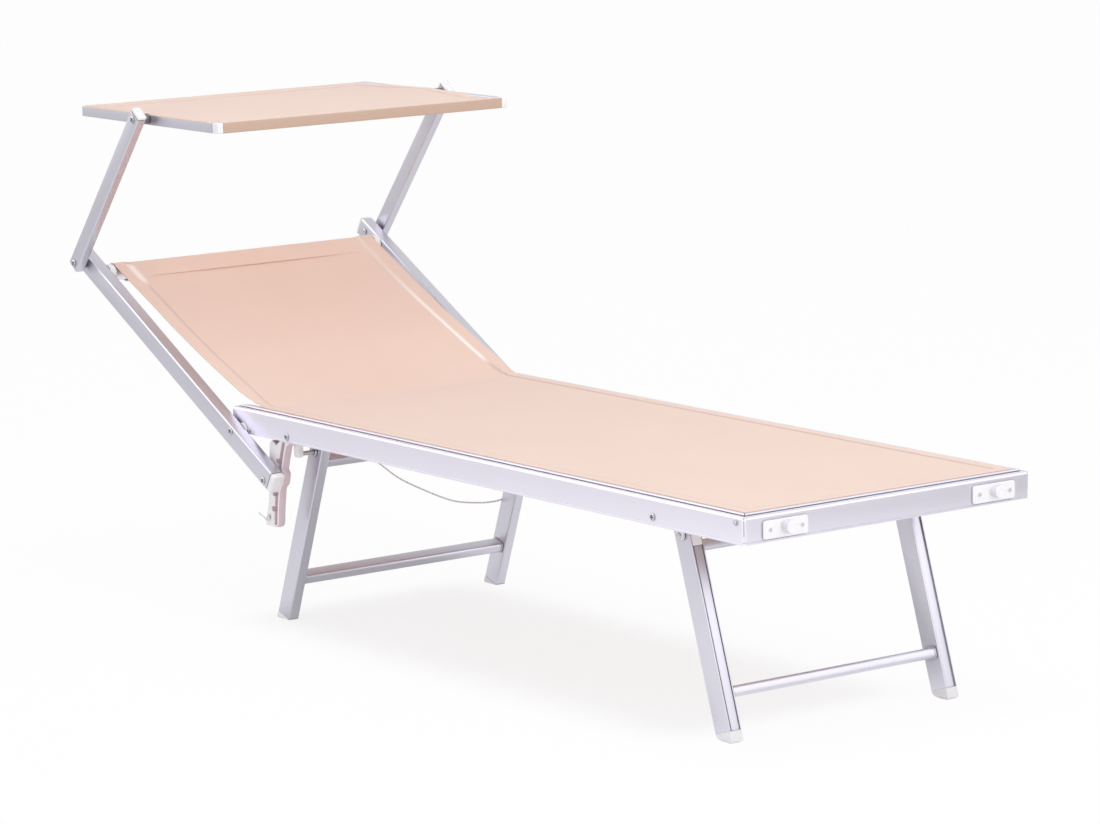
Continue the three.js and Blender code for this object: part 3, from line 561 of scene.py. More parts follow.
@dataclass(frozen=True)
class SlingCloth(Finish):
    """Coated yarn in an open plain weave, with sewn hems."""

    thread: float = 0.0016
    stitch: tuple[float, float] = (0.0008, 0.0038)
    # The colour of the highlight painted along bright seams.
    seam: Colour = (0.98, 0.92, 0.86, 1.0)
    # Tint of the shade painted on the canopy's front band.
    band: Colour = (0.68, 0.64, 0.57, 1.0)

    def weave(self, recipe: Recipe, uv: object) -> object:
        """The product of two waves, one for the warp and one for the weft."""
        waves = []
        for direction in ("X", "Y"):
            inputs = {"Vector": uv, "Scale": 2 * math.pi / (20 * self.thread)}
            node = recipe.add("TexWave", inputs, bands_direction=direction)
            waves.append(node.outputs["Fac"])
        return recipe.math("MULTIPLY", *waves)

    def banded(self, recipe: Recipe, colour: object) -> object:
        """The colour, times a darker tint on the canopy's front band, which faces the foot end: painted
        shade.
        """
        double = recipe.add("Attribute", attribute_name="double").outputs["Fac"]
        return recipe.multiplied(double, colour, self.band)

    def mix(self, recipe: Recipe) -> None:
        """Weave from the UV map in metres; the seam attribute is the distance to a seam, and glow paints
        a highlight along it where above zero and shade where below.
        """
        where = recipe.add("TexCoord").outputs
        threads = self.weave(recipe, where["UV"])
        slubs = recipe.add("Mapping", {"Vector": where["UV"], "Scale": (420.0, 14.0, 1.0)}).outputs[0]
        yarn = recipe.noise(slubs, 1.0, 2.0)
        cloud = recipe.noise(where["UV"], 4.0, 3.0)
        distance = recipe.add("Attribute", attribute_name="seam").outputs["Fac"]
        glow = recipe.add("Attribute", attribute_name="glow").outputs["Fac"]
        stitch = recipe.between(distance, self.stitch, (1.0, 0.0))
        broad, fine = recipe.ramp(cloud, -0.25, 0.75), recipe.ramp(yarn, 0.0, 0.5)
        tint = recipe.math("ADD", broad, fine, clamp=True)
        ground = recipe.blend(tint, self.dark, self.light)
        holes = recipe.math("MULTIPLY", recipe.math("SUBTRACT", 1.0, threads), 0.16)
        open_ground = recipe.blend(holes, ground, tuple(0.72 * c for c in self.dark[:3]) + (1.0,))
        # Glow above zero paints a highlight along the seam, below zero it paints shade.
        lit = recipe.math("MULTIPLY", stitch, recipe.math("MAXIMUM", glow, 0.0))
        seam_shade_share = recipe.math("MAXIMUM", recipe.math("MULTIPLY", glow, -1.0), 0.0)
        painted_seam_shade = recipe.math("MULTIPLY", stitch, seam_shade_share)
        shaded = recipe.blend(painted_seam_shade, open_ground, tuple(0.66 * c for c in self.dark[:3]) + (1.0,))
        recipe.feed(
            recipe.shader,
            {
                "Base Color": self.banded(recipe, recipe.blend(lit, shaded, self.seam)),
                "Roughness": recipe.ramp(yarn, self.roughness - 0.08, self.roughness + 0.05),
                "Sheen Weight": 0.42,
                "Sheen Roughness": 0.8,
                "Sheen Tint": (1.0, 0.96, 0.95, 1.0),
                "Specular IOR Level": 0.3,
            },
        )
        height = recipe.math("SUBTRACT", threads, recipe.math("MULTIPLY", stitch, 0.8))
        recipe.bump(height, 0.35, 0.0005)


@dataclass(frozen=True)
class TwistedCord(Finish):
    """White cord of twisted strands."""

    lay: float = 0.004

    def mix(self, recipe: Recipe) -> None:
        """Strands run round the cord as they go along it: a wave of u + v."""
        uv = recipe.add("TexCoord").outputs["UV"]
        scale = 2 * math.pi / (20 * self.lay)
        wave = recipe.add("TexWave", {"Vector": uv, "Scale": scale}, bands_direction="DIAGONAL")
        strand = wave.outputs["Fac"]
        recipe.feed(
            recipe.shader,
            {
                "Base Color": recipe.blend(strand, self.dark, self.light),
                "Roughness": recipe.ramp(strand, self.roughness, self.roughness + 0.1),
            },
        )
        recipe.bump(strand, 0.4, 0.0005)


ALUMINIUM = SatinAluminium(
    "satin_aluminium", "aluminium", light=(0.88, 0.85, 0.95, 1), dark=(0.81, 0.78, 0.87, 1),
    roughness=0.32,
)
TUBE = SatinAluminium(
    "grey_tube", "aluminium", light=(0.71, 0.70, 0.78, 1), dark=(0.61, 0.6, 0.67, 1),
    roughness=0.34, metal=0.82,
)
# Near black aluminium: painted shade for the mitre's gap, on the plates in it and on the corner brackets
# seen through it.
GAP_SHADE_ALUMINIUM = SatinAluminium(
    "gap_shade_aluminium", "aluminium", light=(0.12, 0.11, 0.13, 1), dark=(0.08, 0.08, 0.09, 1),
    roughness=0.6,
)
PLASTIC = MouldedPlastic(
    "white_plastic", "white_plastic", light=(0.9, 0.89, 0.92, 1), dark=(0.86, 0.85, 0.88, 1),
    roughness=0.42,
)
# Lit and shaded copies of the white plastic for the hangers: lighter on their broad faces as painted
# light, darker and pink on their edges as painted shade and a painted reflection of the cloth.
HANGER_LIT_FACES = MouldedPlastic(
    "hanger_plastic", "white_plastic", light=(0.97, 0.95, 0.96, 1), dark=(0.94, 0.91, 0.92, 1),
    roughness=0.4, crevices=(0.004, 0.6),
)
HANGER_SHADED_EDGES = MouldedPlastic(
    "hanger_edge", "white_plastic", light=(0.8, 0.68, 0.71, 1), dark=(0.74, 0.6, 0.64, 1),
    roughness=0.4, crevices=(0.004, 0.6),
)
# A darker copy of the white plastic: painted shade on the peg's round side.
PEG_SIDE_SHADE = MouldedPlastic(
    "peg_side_painted_shade", "white_plastic", light=(0.77, 0.75, 0.82, 1), dark=(0.73, 0.71, 0.78, 1),
    roughness=0.42, crevices=(0.006, 0.5),
)
STEEL = BrightSteel(
    "zinc_steel", "steel", light=(0.68, 0.68, 0.72, 1), dark=(0.44, 0.44, 0.48, 1),
    roughness=0.24,
)
PLATED = BrightSteel(
    "pale_zinc", "steel", light=(0.95, 0.94, 0.97, 1), dark=(0.85, 0.84, 0.88, 1),
    roughness=0.5,
)
DARK_STEEL = BrightSteel(
    "dull_steel", "steel", light=(0.3, 0.29, 0.31, 1), dark=(0.2, 0.2, 0.21, 1),
    roughness=0.45,
)
CLOTH = SlingCloth(
    "sling_cloth", "sling_fabric", light=(0.9, 0.665, 0.55, 1), dark=(0.83, 0.595, 0.48, 1),
    roughness=0.82,
)
CORD = TwistedCord(
    "white_cord", "cord", light=(0.93, 0.93, 0.93, 1), dark=(0.78, 0.78, 0.79, 1),
    roughness=0.6,
)


def make_piece(
    name: str,
    surface: Surface,
    place: Placement,
    finish: Finish,
    side: Side = Side.LEFT,
    sharp: float = 38.0,
) -> bpy.types.Object:
    """Turns a surface into an object at the origin, its place in its mesh.

    Args:
        name: the piece's name.
        surface: closed shells that face outwards, in the placement's frame, in mm.
        place: the frame.
        finish: its finish.
        side: RIGHT mirrors it in Y, and flips its faces.
        sharp: edges that turn by more degrees than this stay sharp.

    Returns:
        The object, linked to the scene.
    """
    shell = surface if side is Side.LEFT else surface.flipped()
    points = place.world(shell.points * np.array([1.0, side.value, 1.0]))
    mesh = bpy.data.meshes.new(name)
    faces = shell.quads.tolist() + [ring.tolist() for ring in shell.rings]
    mesh.from_pydata(points.tolist(), [], faces)
    layer = mesh.uv_layers.new(name="UVMap")
    corners = np.concatenate([shell.quad_uv.reshape(-1, 2), *shell.ring_uv])
    layer.data.foreach_set("uv", corners.astype(np.float32).ravel())
    mesh.shade_smooth()
    mesh.set_sharp_from_angle(angle=math.radians(sharp))
    mesh.materials.append(finish.material())
    piece = bpy.data.objects.new(name, mesh)
    bpy.context.scene.collection.objects.link(piece)
    return piece


def fit_piece(
    name: str,
    surface: Surface,
    place: Placement,
    finish: Finish,
    body: str,
    replaces: Sequence[str] = (),
    side: Side = Side.LEFT,
    sharp: float = 38.0,
) -> bpy.types.Object:
    """Makes a piece, lets it ride on its body and hides the CAD nodes it stands for.

    Args:
        name: the piece's name.
        surface: its shape.
        place: its frame.
        finish: its finish.
        body: the CAD body it moves with.
        replaces: CAD nodes it stands for.
        side: the side it is on.
        sharp: edges that turn by more degrees than this stay sharp.

    Returns:
        The object.
    """
    piece = make_piece(name, surface, place, finish, side, sharp)
    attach(piece, body)
    if replaces:
        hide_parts(*replaces)
    LOG.info("%s: %d faces on %s", name, len(piece.data.polygons), body)
    return piece


def finish_sides(mesh: bpy.types.Mesh, axis: int, finish: Finish) -> None:
    """Gives a second finish to the faces that look across an axis and not along it."""
    mesh.materials.append(finish.material())
    facing = np.zeros(len(mesh.polygons) * 3, dtype=np.float32)
    mesh.polygons.foreach_get("normal", facing)
    across = (np.abs(facing.reshape(-1, 3)[:, axis]) < 0.5).astype(np.int32)
    mesh.polygons.foreach_set("material_index", across)


class Assembly:
    """A sub-assembly whose pieces share a frame and the CAD body that they move with."""

    place: Placement
    body: str

    def fit(
        self,
        name: str,
        surface: Surface,
        finish: Finish,
        node: str = "",
        side: Side | None = None,
        sharp: float = 38.0,
    ) -> bpy.types.Object:
        """Makes a piece in the shared frame and lets it ride on the shared body.

        Args:
            name: the piece's name, without its side.
            surface: its shape, as on the left.
            finish: its finish.
            node: the CAD node it stands for, without its side, or nothing.
            side: its side, whose word then ends both names; none for a piece in the middle.
            sharp: edges that turn by more degrees than this stay sharp.

        Returns:
            The object.
        """
        end = "" if side is None else f"_{side.word}"
        nodes = [node + end] if node else []
        drawn = Side.LEFT if side is None else side
        return fit_piece(name + end, surface, self.place, finish, self.body, nodes, drawn, sharp)


@dataclass
class PhotoCamera:
    """The camera that the photograph's points were fitted with."""

    azimuth: float = 52.943
    elevation: float = 9.543
    roll: float = -0.991
    focal_pixels: float = 4553.68
    frame_width: int = 1100
    sensor: float = 36.0
    place: tuple[float, float, float] = (5.3022119 + FOOT_TO_MIDDLE, -4.6724525, 1.711994)

    def build(self) -> None:
        """Makes the scene's camera from its angles, with no shift."""
        a, e, r = (math.radians(x) for x in (self.azimuth, self.elevation, self.roll))
        back = np.array([math.sin(a) * math.cos(e), -math.cos(a) * math.cos(e), math.sin(e)])
        level = np.cross(-back, [0, 0, 1])
        level /= np.linalg.norm(level)
        above = np.cross(level, -back)
        right = math.cos(r) * level + math.sin(r) * above
        up = -math.sin(r) * level + math.cos(r) * above
        data = bpy.data.cameras.new("camera")
        data.sensor_width = self.sensor
        data.lens = self.focal_pixels * self.sensor / self.frame_width
        data.clip_start, data.clip_end = 0.1, 60.0
        camera = bpy.data.objects.new("camera", data)
        axes = np.column_stack([right, up, back, np.array(self.place)])
        camera.matrix_world = Matrix(np.vstack([axes, [0, 0, 0, 1]]).tolist())
        bpy.context.scene.collection.objects.link(camera)
        bpy.context.scene.camera = camera


@dataclass
class ReleaseCord:
    """The cord between the two hangers' lower ends, with a knot outside each."""

    end: float = 281.2
    radius: float = 1.5
    hole_right: tuple[float, float] = (-1322.0, 201.0)
    hole_left: tuple[float, float] = (-1328.0, 192.0)
    outside: float = 297.0

    def route(self) -> Array:
        """The points that the CAD cord follows, from the right hanger to the left one."""
        end = self.end
        return np.array([
            [-1322, -end, 201], [-1322, -277, 201], [-1323.5, -271, 212], [-1326, -268, 240],
            [-1330, -263, 286], [-1334, -246, 321], [-1337, -215, 336], [-1337, -170, 331],
            [-1337, -122, 308], [-1337, -83, 286], [-1337, -50.5, 266.4], [-1337, -5, 232.3],
            [-1337, 56.5, 200.1], [-1337, 100.5, 180.3], [-1337, 125.5, 171.9],
            [-1337, 162.5, 165.2], [-1337, 192.5, 162], [-1337, 219.5, 162.6],
            [-1336, 250, 171], [-1331, 269, 186], [-1328, 277, 192], [-1328, end, 192],
        ], float)

    def knot(self, hole: tuple[float, float]) -> Surface:
        """The cord's end past the hanger: a loop wound on itself and a short tail.

        The path goes straight out of the hole, then round a small loop, a circle in X and Z
        that widens and climbs outward along Y, and ends in a flat tail toward the head end.

        Args:
            hole: the hanger's hole, in X and Z.

        Returns:
            The knot on the left side.
        """
        x, z = hole
        t = np.linspace(0, 2 * np.pi * 1.6, 22)
        wide, out = 2.2 + 0.24 * t, self.outside + 1.6 + 0.26 * t
        loop = np.stack([x + wide * np.sin(t), out, z + wide * np.cos(t) - 2.2], axis=-1)
        start = np.array([[x, self.end + 1.2, z], [x, self.outside - 2, z]])
        tail = loop[-1] + np.array([[-4, 0.0, 2.0], [-10, 0.3, 5.0], [-17, 0.0, 7.0], [-24, 0.3, 9.5]])
        return tube(smooth_path(np.concatenate([start, loop, tail]), 3), self.radius * 0.8)

    def build(self) -> None:
        """Makes the cord and the knots."""
        path = resampled(smooth_path(self.route(), 12), 3.0)
        surface = tube(path, self.radius)
        cord = fit_piece("draw_cord", surface, Placement(), CORD, "main_frame", ["release_cord"])
        line = Placement().world(path)
        for hole, side in ((self.hole_right, Side.RIGHT), (self.hole_left, Side.LEFT)):
            word, knot = side.word, self.knot(hole)
            fit_piece(f"cord_knot_{word}", knot, Placement(), CORD, f"rack_{word}", side=side)


@dataclass
class BedFrame(Assembly):
    """Rails, head bar, dark plates that paint the shade in the corner mitres, rail screws, leg brackets,
    peg plates and pegs.
    """

    half: float = 300.0
    length: float = 1425.0
    bottom: float = 343.0
    corner_radius: float = 7.6
    head_bar: tuple[float, float, float] = (-1400.0, 366.0, 12.5)
    rear_screw: tuple[float, float] = REAR_SCREW
    front_screw: tuple[float, float] = (-FRONT_AXLE, 357.0)
    rear_pin: float = 220.4
    front_pin: float = 216.4
    rivet: tuple[float, float] = (-18.0, 377.5)
    plate_centre: float = 218.0
    plate_height: float = 363.0
    plate_screws: tuple[float, float] = (-32.5, 32.5)
    plate_face: float = 4.3
    peg_rise: float = 2.5
    axle_height: float = AXLE_HEIGHT
    place: Placement = Placement()
    body: str = "main_frame"

    def section(self) -> Array:
        """The rail's section: u inward from the outer face, v up from the lower edge."""
        return filleted(
            [
                (0, 0, 0.5), (0, 3.2, 0.1), (0.6, 3.8, 0.1), (0, 4.4, 0.1), (0, 44, 8), (9.8, 44, 0.4),
                (9.8, 41, 0.4), (13.2, 41, 0.4), (13.2, 44, 0.3), (12, 44.3, 0.8), (12, 46.9, 1.3),
                (19, 46.9, 1.2), (19, 45.2, 0.1),
                (32, 45.2, 0.5), (32, 0, 0.5), (29.5, 0, 0.5), (29.5, 43.7, 0.5), (14.5, 43.7, 0.4),
                (14.5, 38.8, 0.4), (2.5, 38.8, 1), (2.5, 0, 0.5),
            ],
            steps=6,
        )

    def corner(self, section: Array, steps: int = 6) -> tuple[Array, Array]:
        """The last rings of a rail before its mitre, as distances from the corner.

        For a point at depth u below the corner's radius R, the ring at angle t up to 45
        degrees lies at depth R - (R - u) cos t and at R - (R - u) sin t from the corner. A
        deeper point keeps its depth and runs straight to the mitre. A last ring sets the
        curved part in, for the dark line at the joint.

        Args:
            section: (n, 2) outline.
            steps: rings.

        Returns:
            depth and distance, each (steps + 1, n).
        """
        radius = self.corner_radius
        u = section[:, 0][None]
        t = np.linspace(0, np.pi / 4, steps)[:, None]
        share = np.linspace(1, 0, steps)[:, None]
        curved = u < radius
        depth = np.where(curved, radius - (radius - u) * np.cos(t), u)
        distance = np.where(curved, radius - (radius - u) * np.sin(t), u + 6 * share)
        depth = np.concatenate([depth, depth[-1:] + np.where(curved, 1.1, 0.0)])
        return depth, np.concatenate([distance + 1.4, distance[-1:] + 0.9])

    def head_end(self, section: Array) -> Array:
        """The bead's height near the head end, rising over a short curve.

        Args:
            section: (n, 2) outline.

        Returns:
            (k, n, 2) sections, from the very end inward.
        """
        rise = np.sin(np.linspace(0.1, np.pi / 2, 7)) ** 1.5
        sections = np.repeat(section[None], len(rise), axis=0)
        bead = section[:, 1] > 44.1
        lowered = 44.1 + (section[:, 1] - 44.1) * rise[:, None]
        sections[:, :, 1] = np.where(bead[None], lowered, section[:, 1][None])
        return sections

    def side_rail(self) -> Surface:
        """The left rail, from the head end to the mitre at the foot."""
        section = self.section()
        depth, distance = self.corner(section)
        ends = self.head_end(section)
        along = -self.length + np.array([0.0, 3.0, 7.0, 12.0, 18.0, 25.0, 34.0])
        middle = np.linspace(-self.length + 60, -60, 12)
        plain = np.repeat(section[None], len(middle), axis=0)
        heights = np.repeat(section[None, :, 1], len(depth), axis=0)
        u = np.concatenate([ends[:, :, 0], plain[:, :, 0], depth])
        v = np.concatenate([ends[:, :, 1], plain[:, :, 1], heights])
        straight = np.repeat(np.concatenate([along, middle])[:, None], len(section), axis=1)
        x = np.concatenate([straight, -distance])
        return loft(np.stack([x, self.half - u, self.bottom + v], axis=-1))

    def foot_rail(self) -> Surface:
        """The rail across the foot end, mitred at both ends."""
        section = self.section()
        depth, distance = self.corner(section)
        inner = np.linspace(-self.half + 60, self.half - 60, 8)
        count = section.shape[0]
        y = np.concatenate([
            (-self.half + distance)[::-1],
            np.repeat(inner[:, None], count, axis=1),
            self.half - distance,
        ])
        u = np.concatenate([depth[::-1], np.repeat(section[None, :, 0], 8, axis=0), depth])
        v = np.broadcast_to(section[None, :, 1], u.shape)
        return loft(np.stack([-u, y, self.bottom + v], axis=-1))

    def joint(self) -> Surface:
        """A thin dark plate inside the mitre, on the corner's diagonal: painted shade for the mitre's
        gap.
        """
        along, across = np.array([-1.0, -1.0]), np.array([0.35, -0.35])
        corner = np.array([0.0, self.half])
        ends = [3.2 * along + across, 3.2 * along - across, 13 * along - across, 13 * along + across]
        outline = corner + np.array(ends)
        return prism(outline, self.bottom + 0.8, self.bottom + 42.8, Axis.Z)

    def bracket(self, x: float, rear: bool) -> Surface:
        """A block in the rail's channel and a tab, round at its lower end.

        The rear tab hangs under its block, and the front one beside the leg, on a bridge.

        Args:
            x: the leg's axle.
            rear: whether it is a rear bracket.

        Returns:
            The left bracket.
        """
        outer = 280.5 if rear else 296.0
        block = prism(rectangle(x, 363.5, 28, 33, 2), 270.9, outer, Axis.Y, 0.8)
        low, high = self.axle_height - 6.0, 378.0 if rear else 361.0
        corners = [(x - 8.5, low, 6.5), (x + 8.5, low, 6.5), (x + 8.5, high, 1), (x - 8.5, high, 1)]
        tab = filleted(corners, 8)
        if not rear:
            bridge = prism(rectangle(x, 355.5, 17, 11, 1.5), 245.0, 271.5, Axis.Y, 0.4)
            return merged(block, prism(tab, 241.5, 247.0, Axis.Y, 1.0), bridge)
        web = filleted([(x - 12.5, 342, 1), (x + 12.5, 342, 1), (x + 8, 330, 2), (x - 8, 330, 2)], 4)
        hung, rib = prism(tab, 270.8, 280.5, Axis.Y, 1.2), prism(web, 272.5, 278.5, Axis.Y, 0.6)
        return merged(block, hung, rib)

    def leg_pin(self, x: float, rear: bool) -> Surface:
        """The pin between bracket and leg, with a domed head on the leg's inner face.

        Args:
            x: the leg's axle.
            rear: whether it is a rear leg's pin, which has a collar outside the leg.

        Returns:
            The left pin.
        """
        deep = self.rear_pin if rear else self.front_pin
        profile = [(0.4, -3.0), (3.5, -2.8), (5.2, -2.0), (6, -0.8), (6, 0.0), (4, 0.0)]
        profile = [(r, deep + y) for r, y in profile]
        if not rear:
            profile += [(4, 247.1), (5.8, 247.1), (5.4, 248.2), (3.8, 249.0), (0.4, 249.3)]
            return turned_piece(profile, x, self.axle_height, Axis.Y, 24)
        profile += [(4, 272.0), (0.4, 272.0)]
        collar = [(4.2, 240.9), (7.5, 240.9), (8, 241.5), (8, 244.3), (7.5, 244.9), (4.2, 244.9)]
        z = self.axle_height
        return merged(turned_piece(profile, x, z, Axis.Y, 24), turned_piece(collar, x, z, Axis.Y, 28))

    def plate(self) -> Surface:
        """A peg plate: soft edges and a shallow seat round each screw."""
        y, z = self.plate_centre, self.plate_height
        body = prism(rectangle(y, z, 90, 29, 5), FIT, self.plate_face, Axis.X, 1.3)
        seat = [
            (0.4, 3.5), (5.6, 3.5), (5.6, 4.5), (5.2, 4.8), (4.4, 4.8), (4.0, 4.5), (0.4, 4.5),
        ]
        seats = [turned_piece(seat, y + reach, z, Axis.X, 28) for reach in self.plate_screws]
        return merged(body, *seats)

    def peg(self) -> Surface:
        """The round peg, on a low collar, its outer end rounded."""
        profile = [
            (0.4, 3.4), (11.4, 3.4), (11.4, 4.9), (10.7, 5.6), (10.6, 17.2), (10.2, 18.8),
            (9.2, 19.7), (7.8, 20.0), (7.2, 19.7), (0.4, 19.6),
        ]
        height = self.plate_height + self.peg_rise
        return turned_piece(profile, self.plate_centre, height, Axis.X, 48)

    def head_tube(self) -> Surface:
        """The bar between the rails near the hinge."""
        x, z, radius = self.head_bar
        profile = [
            (0.4, -267.7), (11.6, -267.7), (radius, -266.8), (radius, 266.8), (11.6, 267.7), (0.4, 267.7),
        ]
        return turned_piece(profile, x, z, Axis.Y, 40)

    def build(self) -> None:
        """Makes the bed frame's pieces."""
        self.fit("foot_rail_profile", self.foot_rail(), ALUMINIUM, "foot_rail", sharp=30)
        self.fit("head_tube", self.head_tube(), ALUMINIUM, "head_bar")
        for side in Side:
            self.fit("side_rail_profile", self.side_rail(), ALUMINIUM, "side_rail", side, 30)
            for which, at in (("rear", self.rear_screw), ("front", self.front_screw)):
                rear = which == "rear"
                head = screw_head(*at, Axis.Y, self.half + 0.1, 6.0, 2.6)
                self.fit(f"{which}_rail_screw_head", head, STEEL, f"{which}_rail_screw", side)
                bracket = self.bracket(at[0], rear)
                self.fit(f"{which}_leg_hanger", bracket, PLASTIC, f"{which}_leg_bracket", side)
                self.fit(f"{which}_leg_pin", self.leg_pin(at[0], rear), STEEL, side=side)
            dome = [(4.4, 300.05), (4.4, 300.6), (4.0, 301.4), (3.0, 302.2), (1.7, 302.6), (0.3, 302.7)]
            self.fit("corner_gap_shade", self.joint(), GAP_SHADE_ALUMINIUM, side=side)
            self.fit("corner_rivet", turned_piece(dome, *self.rivet, Axis.Y, 28), TUBE, side=side)
            self.fit("peg_plate_body", self.plate(), PLASTIC, "peg_plate", side)
            peg = self.fit("peg", self.peg(), PLASTIC, side=side)
            # The peg's round side, whose faces look across X, gets painted shade.
            finish_sides(peg.data, 0, PEG_SIDE_SHADE)
            for number, reach in enumerate(self.plate_screws):
                at = (self.plate_centre + reach, self.plate_height)
                head = screw_head(*at, Axis.X, self.plate_face, 4.3, 1.4)
                name = f"peg_plate_screw_{side.word}_{number}"
                fit_piece(name, head, self.place, PLATED, self.body, side=side)
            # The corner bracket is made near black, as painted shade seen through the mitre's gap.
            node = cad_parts[f"corner_bracket_{side.word}"]
            node.data.materials.clear()
            node.data.materials.append(GAP_SHADE_ALUMINIUM.material())


@dataclass
class LegFrame(Assembly):
    """Two legs, their inserts and feet, an upper bar and a stretcher.

    The front legs have a channel down both narrow faces, and the rear ones are plain.
    """

    name: str
    axle: float
    lean: float
    foot: float
    sole_radius: float
    channelled: bool
    sole_spread: tuple[float, float] = (1.0, 1.0)
    axle_height: float = AXLE_HEIGHT
    upper_drop: float = 20.0
    stretcher_drop: float = 257.5
    width: float = 38.0
    inner: float = 220.7
    outer: float = 240.7
    top: float = 14.0
    lip: float = 1.9
    channel_depth: float = 1.7
    grooves: tuple[float, float] = (0.9, 3.3)
    groove_depth: float = 1.7
    plug: float = -20.0

    @property
    def place(self) -> Placement:
        """The frame at the axle, with the leg straight down."""
        return Placement(-self.axle, self.axle_height, self.lean)

    @property
    def body(self) -> str:
        """The CAD body that the frame is."""
        return f"{self.name}_legs"

    @property
    def length(self) -> float:
        """From the axle to the floor along the leg."""
        return self.axle_height / math.cos(math.radians(self.lean))

    def section(self) -> Array:
        """A rectangle, with a channel sunk in both narrow faces where it has one."""
        a, b = self.width / 2, (self.outer - self.inner) / 2
        y = (self.outer + self.inner) / 2
        if not self.channelled:
            return rectangle(0, y, self.width, self.outer - self.inner, 2.8)
        c, d, (g, h) = b - self.lip, self.channel_depth, self.grooves
        deep = d + self.groove_depth
        half = [
            (a, -b, 1.8), (a, -c, 0.3), (a - deep, -c, 0.3), (a - deep, g - c, 0.3),
            (a - d, g - c, 0.3), (a - d, c - h, 0.3), (a - deep, c - h, 0.3), (a - deep, c, 0.3),
            (a, c, 0.3), (a, b, 1.8),
        ]
        back = [(-x, v, r) for x, v, r in reversed(half)]
        return filleted([(x, y + v, r) for x, v, r in half + back], 4)

    def leg(self) -> Surface:
        """The leg's tube."""
        return prism(self.section(), self.foot - self.length, self.top, Axis.Z, 0.4)

    def plugs(self) -> Surface:
        """The insert's two tongues, which fill the channels' upper ends."""
        y, across = (self.outer + self.inner) / 2, self.outer - self.inner - 2 * self.lip
        a, d = self.width / 2, self.channel_depth
        tongue = rectangle(a - d / 2 + 0.3, y, d, across - 1.0, 0.6)
        both = (tongue, tongue * np.array([-1.0, 1.0]))
        return merged(*(prism(side, self.plug, self.top + 1.0, Axis.Z, 0.5) for side in both))

    def insert(self) -> Surface:
        """The plastic insert in the leg's upper end, domed across its width."""
        y = (self.outer + self.inner) / 2
        outline = rectangle(0, y, self.width - 1.0, self.outer - self.inner - 1.0, 2.4)
        t = np.linspace(0, np.pi / 2, 7)
        shrink = np.concatenate([[1.0], np.cos(t) * 0.45 + 0.55])
        rise = np.concatenate([[self.top - 4.0], self.top + 0.2 + 4.6 * np.sin(t)])
        middle = np.array([0, y])
        sections = (outline - middle)[None] * shrink[:, None, None] + middle
        return loft(Axis.Z.spread(sections, np.broadcast_to(rise[:, None], sections.shape[:2])))

    def foot_cap(self) -> Surface:
        """The foot, from the leg's section to a level sole with round edges.

        The floor's plane is z = (x sin t - H) / cos t in the leg's frame. The first three
        sections lie at the leg's end. The others are r (1 - sin a) above the floor, where the
        outline is set in by r (1 - cos a). An inset past 0.95 mm is multiplied by the sole's
        spread in X and in Y. No point lies under the floor's plane.
        """
        y = (self.outer + self.inner) / 2
        size = np.array([self.width + 1.2, self.outer - self.inner + 1.2])
        outline, middle = rectangle(0, y, *size, 3.6), np.array([0, y])
        t = math.radians(self.lean)
        angle = np.linspace(0, np.pi / 2, 8)
        radius = self.sole_radius
        inset = np.concatenate([[0.9, 0.2, 0.0], radius * (1 - np.cos(angle))])
        spread = np.where(inset[:, None] > 0.95, np.array(self.sole_spread)[None], 1.0)
        shrink = 1 - 2 * inset[:, None] * spread / size
        sections = middle + (outline - middle)[None] * shrink[:, None]
        floor = (sections[..., 0] * math.sin(t) - self.axle_height) / math.cos(t)
        upper = np.full_like(floor, self.foot - self.length - FIT)
        z = floor + radius * np.concatenate([np.ones(3), 1 - np.sin(angle)])[:, None]
        z[0], z[1], z[2] = upper[0], upper[1] - 0.6, upper[2] - 1.6
        z[3:] = np.minimum(z[3:], upper[3:] - 1.7)
        z = np.maximum(z, floor + np.linspace(1.4, 0.0, len(z))[:, None])
        return loft(Axis.Z.spread(sections, z))

    def bar(self, drop: float) -> Surface:
        """A flat-oval bar between the legs, its ends flared a little where it is seated."""
        section = rectangle(0, -drop, 28, 18, 6)
        half = self.inner - FIT
        seat = prism(rectangle(0, -drop, 30.5, 20.5, 7), half - 3.0, half, Axis.Y, 0.8)
        return merged(prism(section, -half, half, Axis.Y), seat, mirrored(seat))

    def build(self) -> None:
        """Makes the leg frame's pieces."""
        name = self.name
        for side in Side:
            self.fit(f"{name}_leg_tube", self.leg(), TUBE, f"{name}_leg", side, 30)
            insert = merged(self.insert(), self.plugs()) if self.channelled else self.insert()
            self.fit(f"{name}_leg_insert", insert, PLASTIC, side=side)
            self.fit(f"{name}_foot", self.foot_cap(), PLASTIC, f"{name}_foot_cap", side)
        self.fit(f"{name}_upper_tube", self.bar(self.upper_drop), TUBE, f"{name}_upper_bar")
        self.fit(f"{name}_stretcher_tube", self.bar(self.stretcher_drop), TUBE, f"{name}_stretcher")


def mirrored(surface: Surface) -> Surface:
    """The mirror image in Y, faces outwards."""
    other = surface.flipped()
    other.points = surface.points * np.array([1.0, -1.0, 1.0])
    return other


